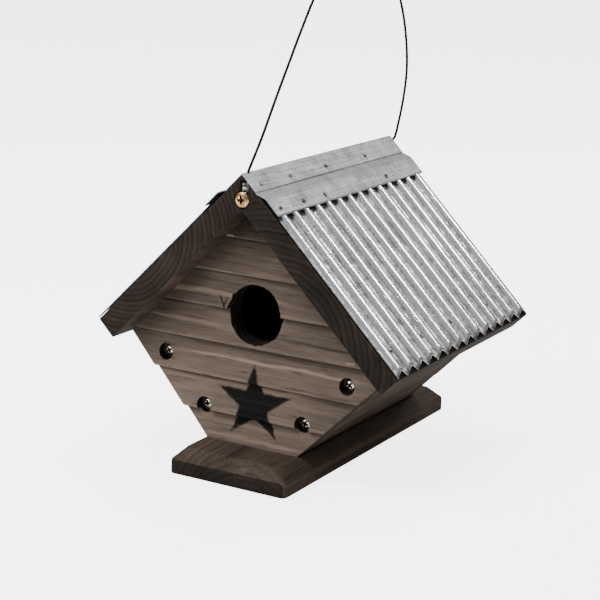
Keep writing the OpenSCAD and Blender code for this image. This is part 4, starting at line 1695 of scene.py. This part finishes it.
@dataclass
class Hanger:
    """The coated cable: an eye round each ridge screw, a crimped sleeve on each, and the free loop.

    Attributes:
        size: The shared measures.
        vinyl: The cable's coating.
        radius: Radius of the cable.
        length: Length of the free loop; not used.
        steps: Steps between each two points of a route.
        exit: Where the loop leaves the cap, in millimetres.
        half: Half the distance between the two strands in a sleeve, in millimetres.
    """

    size: Measures
    vinyl: bpy.types.Material = field(default_factory=VINYL.material)
    radius: float = 0.9 * MM
    length: float = 0.357
    steps: int = 12
    exit: Point = (0.0, -89.5, 195.84)
    half: float = 1.5

    def loop_route(self) -> list[Vector]:
        """The loop's points: a straight rise, the closed top, and the bulge behind the roof."""
        return [mm(*p) for p in (
            self.exit, (0, -76, 213), (0, -61.5, 234), (0, -46.5, 255), (0, -32, 275), (0, -16, 295),
            (0, 2, 311), (0, 23, 321), (0, 46, 324), (0, 68, 317), (0, 87, 302), (0, 101, 283), (0, 110, 261),
            (0, 113.5, 238), (0, 110, 217), (0, 102, 195.84))]

    def tube(self, name: str, points: Sequence[Vector]) -> bpy.types.Object:
        """A cable as a curve of one open spline.

        Args:
            name: The object's name.
            points: The points that it runs through.

        Returns:
            The curve's object, with its ends closed.
        """
        run = catmull(points, self.steps)
        curve = bpy.data.curves.new(name, "CURVE")
        curve.dimensions = "3D"
        curve.bevel_depth = self.radius
        curve.bevel_resolution = 5
        curve.use_fill_caps = True
        spline = curve.splines.new("POLY")
        spline.points.add(len(run) - 1)
        for point, at in zip(spline.points, run):
            point.co = (*at, 1.0)
        curve.materials.append(self.vinyl)
        thing = bpy.data.objects.new(name, curve)
        bpy.context.scene.collection.objects.link(thing)
        return thing

    def eye_route(self, end: End) -> list[Vector]:
        """The points of an eye, from the cable's dead end to where the loop takes over."""
        low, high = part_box(rope_word(end) + "_ferrule")
        screw_low, screw_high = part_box(rope_word(end) + "_ridge_screw")
        z = (screw_low.z + screw_high.z) / 2 / MM
        y = (low.y + high.y) / 2 / MM
        x = (low.x + high.x) / 2 / MM
        foot, head = low.z / MM, high.z / MM
        dead, live = x + self.half, x - self.half
        route = [(dead, y, head + 0.5), (dead, y, foot + 2.5), (dead, y, foot), (dead, y, foot - 0.8),
                 (3.6, y, z + 2.2), (3.5, y, z), (2.5, y, z - 2.5), (0, y, z - 3.5), (-2.5, y, z - 2.5),
                 (-3.5, y, z), (live - 2 if end is End.FRONT else -3.2, y, z + 3.0), (live, y, foot - 0.8),
                 (live, y, foot), (live, y, foot + 2.5), (live, y, head), (live, y, head + 0.8)]
        if end is End.FRONT:
            route += [(live, y + 2.0, head + 2.8), self.exit]
        else:
            route += [(-1.2, y + 1.7, head + 1.9), (-0.5, 100.1, 191.54), (0, 102, 195.84)]
        return [mm(*p) for p in route]

    def sleeve(self, end: End) -> bpy.types.Object:
        """A double sleeve pressed flat in two places on the two strands."""
        word = rope_word(end)
        low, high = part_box(word + "_ferrule")
        middle, half = (low + high) / 2, (high - low) / 2
        bm = bmesh.new()
        bmesh.ops.create_circle(bm, cap_ends=True, segments=40, radius=1.0)
        for v in bm.verts:
            v.co.x = v.co.x * half.y + math.copysign(half.x - half.y, v.co.x) * min(1.0, abs(v.co.x) * 6.0)
            v.co.y *= half.y
            v.co.z = low.z
        rings = 14
        face = bm.faces[:][0]
        for ring in range(rings):
            made = bmesh.ops.extrude_face_region(bm, geom=[face])
            verts = [v for v in made["geom"] if isinstance(v, bmesh.types.BMVert)]
            bmesh.ops.translate(bm, vec=(0, 0, 2 * half.z / rings), verts=verts)
            if ring and face.is_valid:
                bmesh.ops.delete(bm, geom=[face], context="FACES_ONLY")
            face = next(f for f in made["geom"] if isinstance(f, bmesh.types.BMFace))
        for v in bm.verts:
            share = (v.co.z - low.z) / (2 * half.z)
            rim = 0.1 * (abs(2 * share - 1) > 0.98)
            pinch = 1.0 - 0.16 * abs(math.sin(share * math.pi * 2.0)) ** 0.7 - rim
            waist = 1.0 - 0.72 * max(0.0, 1.0 - abs(v.co.x) / (half.x * 0.46))
            v.co.y *= pinch * waist
        for v in bm.verts:
            v.co.x += middle.x
            v.co.y += middle.y
        bmesh.ops.recalc_face_normals(bm, faces=bm.faces)
        bores = []
        for side in (-1, 1):
            x = middle.x + side * self.half * MM
            bores.append(rod(self.radius + 0.03 * MM, Vector((x, middle.y, low.z - MM)),
                             Vector((x, middle.y, high.z + MM)), 24))
        bm = cut(bm, bores)
        return Piece(word + "_crimped_sleeve", (word + "_ferrule",), "sleeve_metal", crease=40.0).place(
            bm, SLEEVE.material())

    def build(self) -> None:
        for end in (End.FRONT, End.BACK):
            word = rope_word(end)
            eye = self.tube(word + "_cable_eye", self.eye_route(end))
            Piece(word + "_cable_eye", (word + "_cable_end",), "cable_coating").tie(eye)
            self.sleeve(end)
        loop = self.tube("cable_loop", self.loop_route())
        Piece("cable_loop", ("hanger_loop",), "cable_coating", HANGER).tie(loop)
        route = catmull(self.loop_route(), self.steps)
        length = sum((b - a).length for a, b in zip(route, route[1:]))
        LOG.info("the free loop is %.4f m long", length)
        tuple(c * MM for c in self.exit)


# ---------------------------------------------------------------- the studio


@dataclass(frozen=True)
class Lamp:
    """A soft square lamp that looks at the house.

    Attributes:
        name: The lamp's name.
        at: Where it hangs.
        size: Its width.
        watts: Its power.
    """

    name: str
    at: Point
    size: float
    watts: float

    def hang(self, aim: Point) -> None:
        """Puts the lamp up, looking at a point."""
        data = bpy.data.lights.new(self.name, "AREA")
        data.size = self.size
        data.energy = self.watts
        lamp = bpy.data.objects.new(self.name, data)
        bpy.context.scene.collection.objects.link(lamp)
        look = Vector(aim) - Vector(self.at)
        lamp.matrix_world = Matrix.Translation(self.at) @ look.to_track_quat("-Z", "Y").to_matrix().to_4x4()


LAMPS = (
    Lamp("key", (-0.60, -0.80, 1.35), 0.45, 28.0),
    Lamp("top", (0.0, 0.35, 1.6), 0.5, 20.0),
    Lamp("glint", (0.76, 1.37, 1.25), 0.3, 9.0),
    Lamp("front", (-0.5, -0.85, 0.16), 0.3, 1.5),
    Lamp("side", (1.3, -0.6, 0.22), 0.8, 2.0),
)


@dataclass
class Studio:
    """Camera, floor and soft lights.

    Attributes:
        position: Where the camera stands.
        target: What it looks at.
        roll: How far it is rolled, in degrees.
        lens: Focal length, in millimetres.
        sensor: Width of the sensor, in millimetres.
        shift: Shift of the lens.
        shown: Brightness of the surround as it is seen.
        given: Strength of the light that it gives overhead.
        horizon: Share of that strength that it gives at the horizon.
        overhead: Height on the unit sphere from which it gives all of it.
        floor_shown: Brightness added to the floor as it is seen.
        floor_size: Half the width of the floor.
        lamp_aim: What the lamps look at.
    """

    position: Point = (0.54365, -0.96284, 0.37775)
    target: Point = (-0.0005, -0.0079, 0.1005)
    roll: float = 1.75
    lens: float = 104.24
    sensor: float = 36.0
    shift: tuple[float, float] = (-0.0205, -0.0073)
    shown: float = 5.0
    given: float = 0.42
    horizon: float = 0.12
    overhead: float = 0.7
    floor_shown: float = 4.0
    floor_size: float = 6.0
    lamp_aim: Point = (0.0, 0.0, 0.1)

    def camera(self) -> None:
        """Sets up the camera."""
        data = bpy.data.cameras.new("camera")
        data.lens = self.lens
        data.sensor_width = self.sensor
        data.shift_x, data.shift_y = self.shift
        camera = bpy.data.objects.new("camera", data)
        bpy.context.scene.collection.objects.link(camera)
        look = Vector(self.target) - Vector(self.position)
        turn = look.to_track_quat("-Z", "Y").to_matrix().to_4x4()
        camera.matrix_world = (Matrix.Translation(self.position) @ turn
                               @ Matrix.Rotation(math.radians(self.roll), 4, "Z"))
        bpy.context.scene.camera = camera

    def floor(self) -> None:
        """Sets up the floor."""
        bm = bmesh.new()
        bmesh.ops.create_grid(bm, x_segments=1, y_segments=1, size=self.floor_size)
        mesh = bpy.data.meshes.new("floor")
        bm.to_mesh(mesh)
        bm.free()
        graph = Graph("pale_floor")
        seen = graph.add("ShaderNodeLightPath").outputs["Is Camera Ray"]
        glow = graph.math("MULTIPLY", seen, self.floor_shown)
        mesh.materials.append(graph.finish(Base_Color=(0.8, 0.8, 0.8), Roughness=0.9, Specular_IOR_Level=0.1,
                                           Emission_Color=(1.0, 1.0, 1.0), Emission_Strength=glow))
        floor = bpy.data.objects.new("floor", mesh)
        bpy.context.scene.collection.objects.link(floor)

    def build(self) -> None:
        """Sets up the whole studio."""
        self.camera()
        self.floor()
        self.surround()
        for lamp in LAMPS:
            lamp.hang(self.lamp_aim)

    def surround(self) -> None:
        """Sets up the white surround, which looks brighter than the light that it gives."""
        world = bpy.data.worlds.new("studio")
        bpy.context.scene.world = world
        world.use_nodes = True
        tree = world.node_tree
        shown, given = tree.nodes["Background"], tree.nodes.new("ShaderNodeBackground")
        ray, mix = tree.nodes.new("ShaderNodeLightPath"), tree.nodes.new("ShaderNodeMixShader")
        shown.inputs["Strength"].default_value = self.shown
        place = tree.nodes.new("ShaderNodeTexCoord").outputs["Generated"]
        height = tree.nodes.new("ShaderNodeSeparateXYZ")
        gather = tree.nodes.new("ShaderNodeMapRange")
        tree.links.new(place, height.inputs[0])
        tree.links.new(height.outputs[2], gather.inputs[0])
        rise = (0.0, self.overhead, self.horizon * self.given, self.given)
        for socket, number in zip(gather.inputs[1:], rise):
            socket.default_value = number
        tree.links.new(gather.outputs[0], given.inputs["Strength"])
        for background in (shown, given):
            background.inputs["Color"].default_value = (1.0, 1.0, 1.0, 1.0)
        tree.links.new(ray.outputs["Is Camera Ray"], mix.inputs[0])
        tree.links.new(given.outputs[0], mix.inputs[1])
        tree.links.new(shown.outputs[0], mix.inputs[2])
        tree.links.new(mix.outputs[0], tree.nodes["World Output"].inputs["Surface"])


def dress_hidden() -> None:
    """Gives the CAD nodes that stay their own metal."""
    metal = ZINC.material()
    for node in ("ridge_nails", "left_roof_brads", "right_roof_brads", "base_screws"):
        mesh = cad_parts[node].data
        mesh.materials.clear()
        mesh.materials.append(metal)
        LOG.info("%s keeps its CAD shape", node)


def main() -> None:
    """Builds the birdhouse and its studio."""
    logging.basicConfig(level=logging.INFO, format="%(message)s")
    Studio().build()
    size = Measures.taken()
    Hanger(size).build()
    BaseBoard(size).build()
    SideWalls(size).build()
    GablePanels(size).build()
    RoofBoards(size).build()
    RoofSheets(size).build()
    RidgeCap(size).build()
    nails = RoofNails()
    nails.build("cap_nails", "ridge_cap_nails", NAIL_ZINC)
    nails.build("left_nails", "left_sheet_nails", NAIL_ZINC)
    nails.build("right_nails", "right_sheet_nails", NAIL_ZINC)
    Screws(size).build()
    dress_hidden()


if __name__ == "__main__":
    main()
